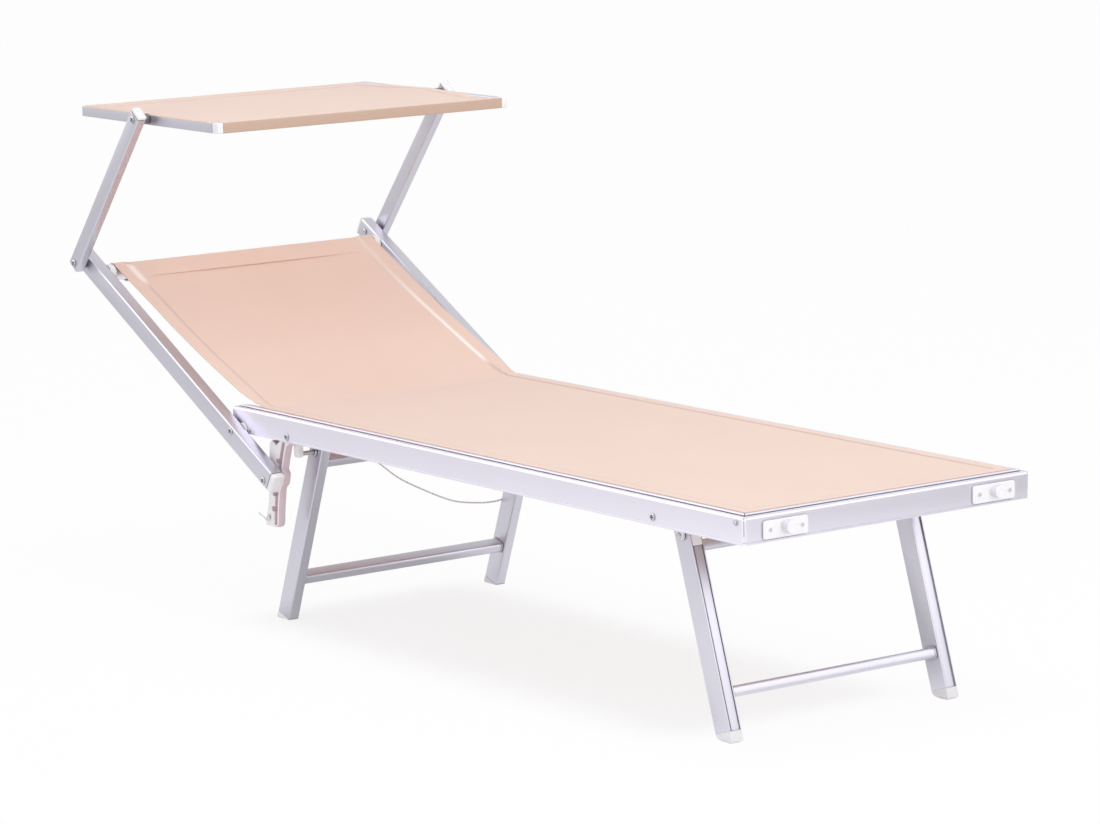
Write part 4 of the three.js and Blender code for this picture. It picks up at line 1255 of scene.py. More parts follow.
@dataclass
class Hanger:
    """A slotted plate that hangs on the rail screw and holds the backrest's latch pin."""

    side: Side
    pivot: tuple[float, float] = REAR_SCREW
    hinge: tuple[float, float] = HINGE
    latch: tuple[float, float] = LATCH
    rest_angle: float = REST_ANGLE
    ratio: float = 0.6
    angles: tuple[float, float] = (0.0, 70.0)
    stops: tuple[float, ...] = (15.0, 29.0, 43.0, 57.0)
    slot_half: float = 4.6
    notch_depth: float = 9.0
    front_wall: float = 4.4
    boss: float = 8.0
    inner: float = 281.5
    thickness: float = 15.0

    def latch_path(self, angle: Array) -> Array:
        """The latch pin in the hanger's frame.

        The pin is turned by the backrest's angle about the hinge, then back by the hanger's own
        turn, the ratio times the angle past rest, about the pivot.
        """
        a = np.radians(angle)
        x = self.latch[0] * np.cos(a) + self.latch[1] * np.sin(a) + self.hinge[0] - self.pivot[0]
        z = self.latch[1] * np.cos(a) - self.latch[0] * np.sin(a) + self.hinge[1] - self.pivot[1]
        b = -np.radians(self.ratio * (angle - self.rest_angle))
        return np.stack([x * np.cos(b) + z * np.sin(b), z * np.cos(b) - x * np.sin(b)], axis=-1)

    def walls(self, offset: float) -> tuple[Array, Array]:
        """The two lines at an offset from the slot's middle line, head side first."""
        middle = self.latch_path(np.linspace(*self.angles, 36))
        run = np.gradient(middle, axis=0)
        run /= np.linalg.norm(run, axis=1)[:, None]
        across = np.stack([run[:, 1], -run[:, 0]], axis=-1)
        return middle + across * offset, middle - across * offset

    def slot(self) -> Array:
        """The slot's outline: down the foot side, round the end, and up through the notches."""
        head, foot = self.walls(self.slot_half)
        r = self.slot_half
        low, high = self.latch_path(np.array(self.angles[::-1]))
        half_turn = np.linspace(0, np.pi, 9)

        def cap(centre: Array, first: Array) -> Array:
            """Half a circle from first, away from the slot."""
            start = math.atan2(first[1] - centre[1], first[0] - centre[0])
            return centre + r * np.stack([np.cos(start - half_turn), np.sin(start - half_turn)], axis=-1)

        up = head[::-1]
        pieces: list[Array] = []
        reached = -np.inf
        order = np.argsort(up[:, 1])
        for stop in sorted(self.stops, reverse=True):
            x, z = self.latch_path(np.array(stop))
            near, far = z - r, z + r
            wall = np.interp([near, far], up[order, 1], up[order, 0])
            pieces.append(up[(up[:, 1] > reached) & (up[:, 1] < near)])
            t = np.linspace(-np.pi / 2, np.pi / 2, 9)
            back = x - self.notch_depth
            round_end = np.stack([back - r * np.cos(t), z + r * np.sin(t)], axis=-1)
            pieces += [np.array([[wall[0], near]]), round_end, np.array([[wall[1], far]])]
            reached = far
        pieces.append(up[up[:, 1] > reached])
        return np.concatenate([foot, cap(low, foot[-1])[1:-1], *pieces, cap(high, head[0])[1:-1]])

    def plate(self) -> Array:
        """The plate's outline, with the eye's arc at its top and a boss on its foot side.

        The boss moves the wall out by its height times a soft step up and down in Z.
        """
        foot = self.walls(self.slot_half + self.front_wall)[1][::-1]
        boss = soft_step(foot[:, 1], -97, -88) * (1 - soft_step(foot[:, 1], -70, -61))
        foot = foot + np.stack([self.boss * boss, np.zeros(len(foot))], axis=-1)
        t = np.radians(np.linspace(-56, 90, 14))
        eye = 10.0 * np.stack([np.cos(t), np.sin(t)], axis=-1)
        corners = [(-59.5, -3, 12), (-67.5, -123, 40), (-80.5, -169, 7), (-43.2, -169, 7), (0, -60, 0.1)]
        steps = 8
        head = filleted(corners, steps)[: -steps]
        return np.concatenate([head, foot, eye])

    def build(self) -> None:
        """Makes the hanger from its flat outlines, with its edges rounded."""
        edge = 1.1
        curve = bpy.data.curves.new("hanger_outline", "CURVE")
        curve.dimensions, curve.fill_mode = "2D", "BOTH"
        hole, eye = circle(-67, -152, 2.5, 20), circle(0, 0, 3.8, 24)
        for outline in (self.plate(), self.slot(), hole, eye):
            spline = curve.splines.new("POLY")
            spline.points.add(len(outline) - 1)
            flat = np.column_stack([outline * MM, np.zeros(len(outline)), np.ones(len(outline))])
            spline.points.foreach_set("co", flat.ravel())
            spline.use_cyclic_u = True
        curve.extrude = (self.thickness / 2 - edge) * MM
        curve.bevel_depth, curve.bevel_resolution, curve.offset = edge * MM, 2, -edge * MM
        drawing = bpy.data.objects.new("hanger_outline", curve)
        bpy.context.scene.collection.objects.link(drawing)
        solid = drawing.evaluated_get(bpy.context.evaluated_depsgraph_get())
        mesh = bpy.data.meshes.new_from_object(solid)
        bpy.data.objects.remove(drawing)
        points = np.zeros(len(mesh.vertices) * 3)
        mesh.vertices.foreach_get("co", points)
        x, z, y = points.reshape(-1, 3).T / MM
        middle = self.side.value * (self.inner + self.thickness / 2)
        placed = Placement(*self.pivot).world(np.stack([x, y + middle, z], axis=-1))
        mesh.vertices.foreach_set("co", placed.astype(np.float32).ravel())
        name = f"hanger_plate_{self.side.word}"
        mesh.name = name
        mesh.flip_normals()
        mesh.shade_smooth()
        mesh.set_sharp_from_angle(angle=math.radians(34))
        mesh.materials.clear()
        mesh.materials.append(HANGER_LIT_FACES.material())
        # Faces that look across Y get the shaded pink copy: painted shade and a painted reflection of the
        # cloth.
        finish_sides(mesh, 1, HANGER_SHADED_EDGES)
        piece = bpy.data.objects.new(name, mesh)
        bpy.context.scene.collection.objects.link(piece)
        body = f"rack_{self.side.word}"
        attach(piece, body)
        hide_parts(body)
        LOG.info("%s: %d faces on %s", name, len(mesh.polygons), body)


@dataclass
class Backrest(Assembly):
    """Arms with their caps, hinge bolts, latch pins and the top bar."""

    hinge: tuple[float, float] = HINGE
    angle: float = REST_ANGLE
    centre: float = -9.6
    inner: float = 303.7
    outer: float = 328.1
    height: float = 35.0
    above: float = 561.7
    below: float = 137.8
    lower_cap: float = 13.0
    upper_cap: float = 5.0
    latch: tuple[float, float] = LATCH
    top_bar: tuple[float, float] = (-499.7, -7.5)
    body: str = "backrest"

    @property
    def place(self) -> Placement:
        """The frame at the hinge, with the arm along its X axis."""
        return Placement(self.hinge[0], self.hinge[1], self.angle)

    def section(self) -> Array:
        """The arm's section in Y and Z."""
        y = (self.inner + self.outer) / 2
        return rectangle(y, self.centre, self.outer - self.inner, self.height, 3.6)

    def top_tube(self) -> Surface:
        """The bar between the arms' upper ends."""
        profile = [
            (0.4, -303.4), (13.2, -303.4), (14, -302.6), (14, 302.6), (13.2, 303.4), (0.4, 303.4),
        ]
        return turned_piece(profile, *self.top_bar, Axis.Y, 40)

    def collar(self) -> Surface:
        """The plastic collar between the sling and the arm, with a groove round it."""
        profile = [
            (14.2, 291.6), (16.2, 291.6), (16.7, 292.1), (16.7, 295.0), (15.8, 295.6), (15.8, 296.6),
            (16.7, 297.2), (16.7, 302.6), (16.2, 303.3), (14.2, 303.3),
        ]
        return turned_piece(profile, *self.top_bar, Axis.Y, 40)

    def build(self) -> None:
        """Makes the backrest's pieces."""
        self.fit("top_tube", self.top_tube(), ALUMINIUM, "top_bar")
        lug = [(0.4, 300.6), (11.7, 300.6), (12.5, 301.3), (12.5, 303.0), (12.0, 303.5), (0.4, 303.5)]
        pin = [(0.4, 281.2), (3.4, 281.2), (4, 281.9), (4, 301.0), (0.4, 301.0)]
        washer = [(0.4, 300.3), (11.3, 300.3), (12, 301), (12, 302.8), (11.4, 303.5), (0.4, 303.5)]
        nut = [(0.4, 263.7), (4.9, 263.7), (5.6, 264.4), (5.6, 267.7), (0.4, 267.7)]
        bolt = [(0.4, 267.5), (4, 267.5), (4, 300.5), (0.4, 300.5)]
        face = self.outer + 0.1
        below, above = self.below + FIT, -self.above - FIT
        for side in Side:
            arm = prism(self.section(), -self.above, self.below, Axis.X, 0.4)
            self.fit("arm_tube", arm, TUBE, "back_arm", side)
            lower = prism(self.section(), below, below + self.lower_cap, Axis.X, 3.0)
            self.fit("arm_lower_end", lower, PLASTIC, "back_arm_lower_cap", side)
            upper = prism(self.section(), above - self.upper_cap, above, Axis.X, 1.6)
            self.fit("arm_upper_end", upper, PLASTIC, "back_arm_upper_cap", side)
            self.fit("top_collar", self.collar(), PLASTIC, side=side)
            head = screw_head(0, 0, Axis.Y, face, 6.2, 2.7)
            self.fit("hinge_screw_head", head, STEEL, "hinge_bolt", side)
            self.fit("hinge_washer", turned_piece(washer, 0, 0, Axis.Y, 40), PLASTIC, side=side)
            shank = merged(turned_piece(bolt, 0, 0, Axis.Y, 20), turned_piece(nut, 0, 0, Axis.Y, 6))
            self.fit("hinge_shank", shank, STEEL, side=side)
            head = screw_head(*self.latch, Axis.Y, face, 6.2, 2.7)
            self.fit("latch_screw_head", head, STEEL, "latch_pin", side)
            self.fit("latch_lug", turned_piece(lug, *self.latch, Axis.Y, 40), PLASTIC, side=side)
            self.fit("latch_shank", turned_piece(pin, *self.latch, Axis.Y, 24), STEEL, side=side)


@dataclass
class Sheet:
    """A sheet of cloth carried along a path in X and Z, wide in Y, with a thickness.

    Args:
        path: (m, 2) points in X and Z of its upper face.
        near: (m,) distance of its -Y edge from the middle.
        far: (m,) distance of its +Y edge.
        hem: (m,) width of the hems along both edges.
        thickness: the cloth's thickness.
    """

    path: Array
    near: Array
    far: Array
    hem: Array
    thickness: float = 1.3
    hem_shares: tuple[float, ...] = (0, 0.03, 0.15, 0.4, 0.65, 0.85, 0.95, 1, 1.05, 1.15, 1.4, 1.75)
    middle: int = 45

    def run(self) -> Array:
        """Distance along the path of each of its points."""
        return np.concatenate([[0], np.cumsum(np.linalg.norm(np.diff(self.path, axis=0), axis=1))])

    def gap(self) -> Array:
        """(m, columns) distance to the nearer edge, exact at both ends of the hems."""
        y = self.across()
        return np.minimum(self.far[:, None] - y, y + self.near[:, None])

    def across(self) -> Array:
        """(m, columns) positions in Y: shares of the hem from each edge, and even between."""
        inset = self.hem[:, None] * np.array(self.hem_shares)[None]
        left, right = inset - self.near[:, None], self.far[:, None] - inset[:, ::-1]
        t = np.linspace(0, 1, self.middle)[None, 1:-1]
        return np.concatenate([left, left[:, -1:] * (1 - t) + right[:, :1] * t, right], axis=1)

    def face_normals(self) -> Array:
        """Unit normals (run_z, -run_x) of the path, which are its upper side where it runs to -X."""
        run = np.gradient(self.path, axis=0)
        run /= np.maximum(np.linalg.norm(run, axis=1), 1e-9)[:, None]
        return np.stack([run[:, 1], -run[:, 0]], axis=-1)

    def shell(self, lift: Array) -> Surface:
        """The closed cloth.

        The upper face is path + normal * lift and the lower one lies a thickness below it. Each
        ring goes across above and back below.

        Args:
            lift: (m, columns) height over the path.

        Returns:
            A closed surface whose UV is (across, along) in metres.
        """
        out = self.face_normals()[:, None]
        y = self.across()
        upper = self.path[:, None] + out * lift[..., None]
        lower = upper - out * self.thickness
        ring_xz = np.concatenate([upper, lower[:, ::-1]], axis=1)
        ring_y = np.concatenate([y, y[:, ::-1]], axis=1)
        rings = np.stack([ring_xz[..., 0], ring_y, ring_xz[..., 1]], axis=-1)
        wide = np.concatenate([ring_y, ring_y[:, :1]], axis=1) * MM
        along = np.broadcast_to((self.run() * MM)[:, None], wide.shape)
        return loft(rings, np.stack([wide, along], axis=-1))


def mark_seams(piece: bpy.types.Object, seam: Array, glow: Array, double: Array) -> None:
    """Stores each point's distance to the nearest seam, the painted highlight and shade along it, and the
    painted shade on a front band.

    Args:
        piece: a cloth made by Sheet.
        seam: (m, columns) distance in mm on the upper face.
        glow: (m, columns) from -1, painted shade along a seam, to 1, a painted highlight.
        double: (m, columns) painted shade, from 0 to 1.
    """
    for name, grid in (("seam", seam * MM), ("glow", glow), ("double", double)):
        values = np.concatenate([grid, grid[:, ::-1]], axis=1).ravel()
        attribute = piece.data.attributes.new(name, "FLOAT", "POINT")
        attribute.data.foreach_set("value", values.astype(np.float32))


def soft_step(value: Array, low: float, high: float) -> Array:
    """0 below low, 1 above high, and the cubic 3 t^2 - 2 t^3 between."""
    t = np.clip((value - low) / (high - low), 0, 1)
    return t * t * (3 - 2 * t)


@dataclass
class Sling:
    """The one sling of seat and backrest, from the foot rail over the fold to the top bar."""

    foot: float = -19.5
    level: float = 389.8
    fold: float = -1368.0
    fold_radius: float = 46.0
    bar: tuple[float, float] = (-1832.38, 585.30)
    sleeve: float = 16.6
    seat_half: float = 280.3
    back_half: float = 285.0
    bar_half: float = 290.8
    cut_back: float = 262.0
    seat_hem: float = 22.0
    back_hem: float = 30.0
    seat_sag: float = 2.6
    back_sag: float = 7.5
    row: float = 7.0
    bend_from: tuple[float, float] = (-1.346, 0.392)
    bend_to: tuple[float, float] = (-1.402, 0.405)

    def centre_line(self) -> tuple[Array, float]:
        """Seat, a round fold, the straight back, round the bar, and back under the cloth.

        Returns:
            The path, and the distance along it where it meets the bar.
        """
        bar = np.array(self.bar)
        fold = np.array([self.fold, self.level])
        away = bar - fold
        distance = np.linalg.norm(away)
        slope = math.atan2(away[1], -away[0]) + math.asin(self.sleeve / distance)
        ahead = np.array([-math.cos(slope), math.sin(slope)])
        reach = self.fold_radius * math.tan(slope / 2) * 2.2
        s = np.linspace(0, 1, 22)[:, None]
        a, b = fold + np.array([reach, 0]), fold + ahead * reach
        curve = (1 - s) ** 2 * a + 2 * s * (1 - s) * fold + s**2 * b
        up = np.array([ahead[1], -ahead[0]])
        t = np.linspace(0, math.radians(200), 26)[:, None]
        wrap = bar + self.sleeve * (up * np.cos(t) + ahead * np.sin(t))
        tangent = bar + self.sleeve * up
        tail = tangent - ahead * 44.0 - up * 2.6
        seat = np.array([[self.foot, self.level]])
        line = np.concatenate([seat, curve, wrap, tail[None]])
        run = np.concatenate([[0], np.cumsum(np.linalg.norm(np.diff(line, axis=0), axis=1))])
        at_bar = run[len(seat) + len(curve)]
        stitches = np.array([self.seat_hem, run[-1] - 40.0, at_bar - 6.0])
        near = stitches[:, None] + np.array([-3.0, -1.2, 0, 1.2, 3.0])[None]
        rows = np.concatenate([np.arange(0, at_bar, self.row), run[run >= at_bar], near.ravel()])
        rows = np.unique(rows.round(2))
        rows = rows[np.concatenate([[True], np.diff(rows) > 0.5])]
        return np.stack([np.interp(rows, run, column) for column in line.T], axis=-1), at_bar

    def edges(self, run: Array, fold_at: float, at_bar: float) -> tuple[Array, Array, Array]:
        """Distances of the two edges from the middle, and the hem's width, along the cloth.

        They widen past the fold, stand further out at the bar on the near side, and narrow
        under it, where the sleeve is cut back.

        Args:
            run: (m,) distance along the cloth.
            fold_at: where the fold is on it.
            at_bar: where it meets the bar.

        Returns:
            The -Y edge, the +Y edge and the hem, each (m,).
        """
        backed = soft_step(run, fold_at + 4, fold_at + 60)
        half = self.seat_half + (self.back_half - self.seat_half) * backed
        near_bar = soft_step(run, at_bar - 150, at_bar - 5)
        cut = soft_step(run, at_bar + 22, at_bar + 46)
        near = half + 2.0 * backed + (self.bar_half - self.back_half - 2.0) * near_bar
        far = half - 0.5 * backed + (self.bar_half - self.back_half - 4.0) * near_bar
        near = near + (self.cut_back - near) * cut
        far = far + (self.cut_back - far) * cut
        return near, far, self.seat_hem + (self.back_hem - self.seat_hem) * backed

    def build(self) -> None:
        """Makes the sling: sag, hems, gathers at the fold, slow waves on the back, and painted shade and
        highlights along the hems.
        """
        path, at_bar = self.centre_line()
        fold_at = self.foot - self.fold
        line = Sheet(path, *[np.ones(len(path))] * 3).run()
        sheet = Sheet(path, *self.edges(line, fold_at, at_bar))
        run, y, gap = line[:, None], sheet.across(), sheet.gap()
        cross = np.clip(y / self.back_half, -1, 1)
        bowl = 1 - cross**2
        free = soft_step(run, 0, 90) * (1 - soft_step(run, at_bar - 60, at_bar))
        share = np.clip((run - fold_at) / (at_bar - fold_at), 0, 1)
        back_arc = np.sin(np.pi * share)
        at_fold = np.exp(-(((run - fold_at) / 70.0) ** 2))
        lift = -self.seat_sag * bowl * free - 2.5 * bowl * at_fold
        lift = lift - (self.back_sag + 1.8 * bowl - 1.5 * cross) * back_arc
        waves = 1.0 * np.sin(run / 61.0 + 2.6 * cross) + 0.8 * np.sin(run / 97.0 - 4.1 * cross + 1.3)
        lift = lift + back_arc * np.sqrt(bowl) * waves
        creases = np.exp(-((gap / 60.0) ** 2)) * np.exp(-(((run - fold_at - 10) / 24.0) ** 2))
        lift = lift + 1.3 * creases * np.sin((run + 0.35 * gap) / 3.4)
        on_seat = run < fold_at
        seam_gap = np.where(on_seat, np.minimum(gap, run), gap)
        hem = sheet.hem[:, None]
        soft = np.where(on_seat, 1.3, 4.0)
        lift = lift + np.where(on_seat, 0.9, 1.8) * (1 - soft_step(seam_gap, hem - soft, hem + soft))
        under = 1 - soft_step(run, at_bar + 16, at_bar + 30)
        highlight_streak = soft_step(share, 0.84, 0.9) * (cross < 0)
        wide = np.where(on_seat, 1.0, 1.5 + 1.5 * highlight_streak)
        seam = np.where(under > 0, np.abs(seam_gap - hem) / wide, 9.0)
        # Painted light along the hems: shade on the seat's, and on the back's shade with highlights near
        # the top on the -Y side and over most of the +Y side.
        painted_highlight_near = soft_step(share, 0.83, 0.9) * (1 - soft_step(share, 0.985, 1.0))
        painted_highlight_far = soft_step(share, 0.06, 0.14) * (1 - 0.35 * soft_step(share, 0.55, 0.8))
        back_seam_light = 1.6 * np.where(cross < 0, painted_highlight_near, painted_highlight_far) - 0.6
        glow = np.where(on_seat, -0.8, back_seam_light) + np.zeros_like(y)
        piece = make_piece("one_piece_sling", sheet.shell(lift), Placement(), CLOTH, sharp=50)
        mark_seams(piece, seam, glow, np.zeros_like(glow))
        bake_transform(piece)
        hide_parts("seat_sling", "back_sling")
        LOG.info("one_piece_sling: %.3f m long", line[-1] * MM)


@dataclass
class CanopyArms(Assembly):
    """The two arms between the backrest and the canopy, with their caps and bolts."""

    place: Placement
    reach: float = ARM_REACH
    past_tilt: float = 9.4
    cap_end: float = 17.4
    inner: float = 332.7
    outer: float = 350.3
    width: float = 29.2
    body: str = "canopy_arms"

    def section(self, grow: float = 0.0) -> Array:
        """The arm's section in X and Y."""
        y = (self.inner + self.outer) / 2
        return rectangle(0, y, self.width + grow, self.outer - self.inner + grow, 3.0 + grow / 2)

    def spacer(self, z: float, start: float, end: float) -> Surface:
        """The spacer ring between the arm and what it turns on."""
        ring = [(4.1, start), (8.4, start), (9, start + 0.6), (9, end - 0.6), (8.4, end), (4.1, end)]
        return turned_piece(ring, 0, z, Axis.Y, 32)

    def inner_dome(self, z: float, face: float) -> Surface:
        """The bolt's closed nut, on the inner face of what the arm turns on."""
        steps = [(5.2, 0.0), (5.2, 1.2), (4.6, 2.2), (3.2, 2.8), (0.4, 3.0)]
        dome = [(radius, face - deep) for radius, deep in steps]
        return turned_piece(dome, 0, z, Axis.Y, 28)

    def build(self) -> None:
        """Makes the arms' pieces."""
        tube_end = self.reach + self.past_tilt
        bolts = (("swing", 0.0, 328.4, 303.4), ("tilt", self.reach, 318.1, 315.0))
        for side in Side:
            arm = prism(self.section(), -9.0, tube_end, Axis.Z, 0.5)
            self.fit("canopy_arm_tube", arm, TUBE, "canopy_arm", side)
            cap = prism(self.section(0.2), tube_end + FIT, self.reach + self.cap_end, Axis.Z, 3.2)
            self.fit("canopy_arm_top", cap, PLASTIC, "canopy_arm_cap", side)
            for where, z, start, face in bolts:
                name = f"canopy_{where}"
                head = screw_head(0, z, Axis.Y, self.outer + 0.1, 6.4, 2.8)
                self.fit(f"{name}_screw_head", head, STEEL, f"{name}_bolt", side)
                spacer = self.spacer(z, start, self.inner - FIT)
                self.fit(f"{name}_spacer", spacer, DARK_STEEL, side=side)
                self.fit(f"{name}_nut", self.inner_dome(z, face), STEEL, side=side)


@dataclass
class Canopy(Assembly):
    """Side bars, cross bars, front corner fittings and the fabric."""

    place: Placement
    half: float = 317.8
    inner: float = 297.8
    front: float = 230.2
    back: float = 225.8
    bar_width: float = 20.0
    bar_height: float = 19.0
    drop: float = 2.1
    corner_along: float = 20.0
    corner_across: float = 12.3
    sheet_drop: float = 3.0
    hem: float = 20.0
    body: str = "canopy"

    def side_bar(self) -> Surface:
        """The bar along the canopy's side."""
        y = (self.half + self.inner) / 2
        section = rectangle(y, -self.drop, self.bar_width, self.bar_height, 1.2)
        return prism(section, -self.back, self.front - self.corner_along - FIT, Axis.X, 0.5)

    def corner(self) -> Surface:
        """The white fitting at a front corner, at the side bar's end."""
        y = self.half - self.corner_across / 2
        body = rectangle(y, -self.drop, self.corner_across, self.bar_height, 2.6)
        back = self.front - self.corner_along
        return prism(body, back, self.front, Axis.X, 2.2)

    def cross_bar(self, middle: float, half: float) -> Surface:
        """The tube inside the front or back sleeve.

        Args:
            middle: its place in X.
            half: half its length.

        Returns:
            The tube.
        """
        section = rectangle(middle, -self.drop, self.bar_width - 3.8, self.bar_height - 3.8, 1.2)
        return prism(section, -half, half, Axis.Y, 0.4)

    def fabric_line(self) -> Array:
        """The cloth's upper face in X and Z, from front to back.

        It goes round the front bar, level between the bars, and round the back bar. Its spans
        are cut into equal steps of about 6 mm.
        """
        top, low = self.bar_height / 2 - self.drop, -self.bar_height / 2 - self.drop
        sheet = top - self.sheet_drop
        back_in = self.bar_width - self.back
        front_in = self.front - self.bar_width
        corners = np.array([
            [back_in + 9.0, low + 5.4], [back_in + 0.5, low], [-self.back, low], [-self.back, top],
            [back_in, top], [back_in + 16.0, sheet], [front_in - 16.0, sheet], [front_in, top],
            [self.front, top], [self.front, low], [front_in - 0.5, low], [front_in - 9.0, low + 5.4],
        ])
        radius = np.array([0.1, 2.0, 2.5, 2.5, 8.0, 30.0, 30.0, 8.0, 2.5, 2.5, 2.0, 0.1])
        rounded = filleted(np.column_stack([corners, radius]), 7)
        line = rounded[3:-3][::-1]
        step = np.linalg.norm(np.diff(line, axis=0), axis=1)
        pieces = [line[:1]]
        for a, b, gap in zip(line[:-1], line[1:], step):
            count = max(1, int(gap // 6.0))
            pieces.append(a + (b - a) * (np.arange(1, count + 1) / count)[:, None])
        return np.concatenate(pieces)

    def build(self) -> None:
        """Makes the canopy's pieces."""
        for side in Side:
            self.fit("canopy_side_tube", self.side_bar(), TUBE, "canopy_side_bar", side)
            self.fit("canopy_corner_cap", self.corner(), PLASTIC, "canopy_corner", side)
        front_half = self.half - self.corner_across - FIT
        back_half = self.inner - FIT
        bar = self.cross_bar(self.front - self.bar_width / 2, front_half)
        self.fit("canopy_front_tube", bar, ALUMINIUM, "canopy_front_bar")
        bar = self.cross_bar(self.bar_width / 2 - self.back, back_half)
        self.fit("canopy_back_tube", bar, ALUMINIUM, "canopy_back_bar")
        self.fabric(front_half, back_half)

    def fabric(self, front_half: float, back_half: float) -> None:
        """Makes the cloth, with painted shade along its seams and on its front band.

        Its -Y edge wraps over the side bar. Its +Y edge rises from the side bar's ends to a
        peak over the tilt bolt, as the power 1.9 of a straight slope, and its middle sags in a
        parabola.

        Args:
            front_half: half its width at the front bar.
            back_half: half its width behind it.
        """
        path = self.fabric_line()
        x, z = path.T
        level = soft_step(x, -200, -186) * (1 - soft_step(x, 190, 204)) * (z > 0)
        bulge = np.clip(1 - (x / 200.0) ** 2, 0, 1) * level
        half = back_half + (front_half - back_half) * soft_step(x, 210.2, 211.6)
        peak = np.clip(1 - np.abs(x + 12.0) / 192.0, 0, 1) * level
        far = half + 19.2 * peak**1.9
        topped = soft_step(x, -223.5, -216) * (1 - soft_step(x, 203, 209)) * (z > 0)
        near = half + 21.0 * topped
        sheet = Sheet(path, near, far, np.full(len(path), self.hem), thickness=1.2)
        run, across = sheet.run()[:, None], sheet.across()
        y, cross = np.abs(across), np.clip(across / half[:, None], -1, 1)
        over = np.where(across < 0, topped[:, None], np.clip(peak**1.9 * 9, 0, 1)[:, None])
        bar_top = self.bar_height / 2 - self.drop + 1.4
        lift = (bar_top - z[:, None]) * over * soft_step(y, 270.0, 292.0)
        lift -= 2.4 * topped[:, None] * (across < 0) * soft_step(y, self.half - 1.5, self.half + 0.7)
        lift += -3.2 * (bulge[:, None] ** 0.7) * (1 - (y / 300.0) ** 2).clip(0, 1)
        lift += 0.5 * level[:, None] * np.sin(run / 45.0 + 3 * cross) * (1 - cross**2)
        edge = sheet.gap()
        rows = np.minimum(np.abs(x + 192.0), np.abs(x - 192.0))[:, None]
        seam = np.where(level[:, None] > 0, np.minimum(np.abs(edge - self.hem), rows), 9.0)
        lift += 0.6 * (1 - soft_step(edge, self.hem - 1.0, self.hem + 1.0)) * level[:, None]
        piece = make_piece("canopy_cloth", sheet.shell(lift), self.place, CLOTH, sharp=50)
        # Painted shade: on the front band, which faces the foot end, and along the seams.
        facing = soft_step(x, self.front - 3.5, self.front - 0.5)[:, None] + np.zeros_like(seam)
        mark_seams(piece, seam, np.full_like(seam, -0.35), facing)
        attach(piece, self.body)
        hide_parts("canopy_fabric")
        piece.visible_shadow = False


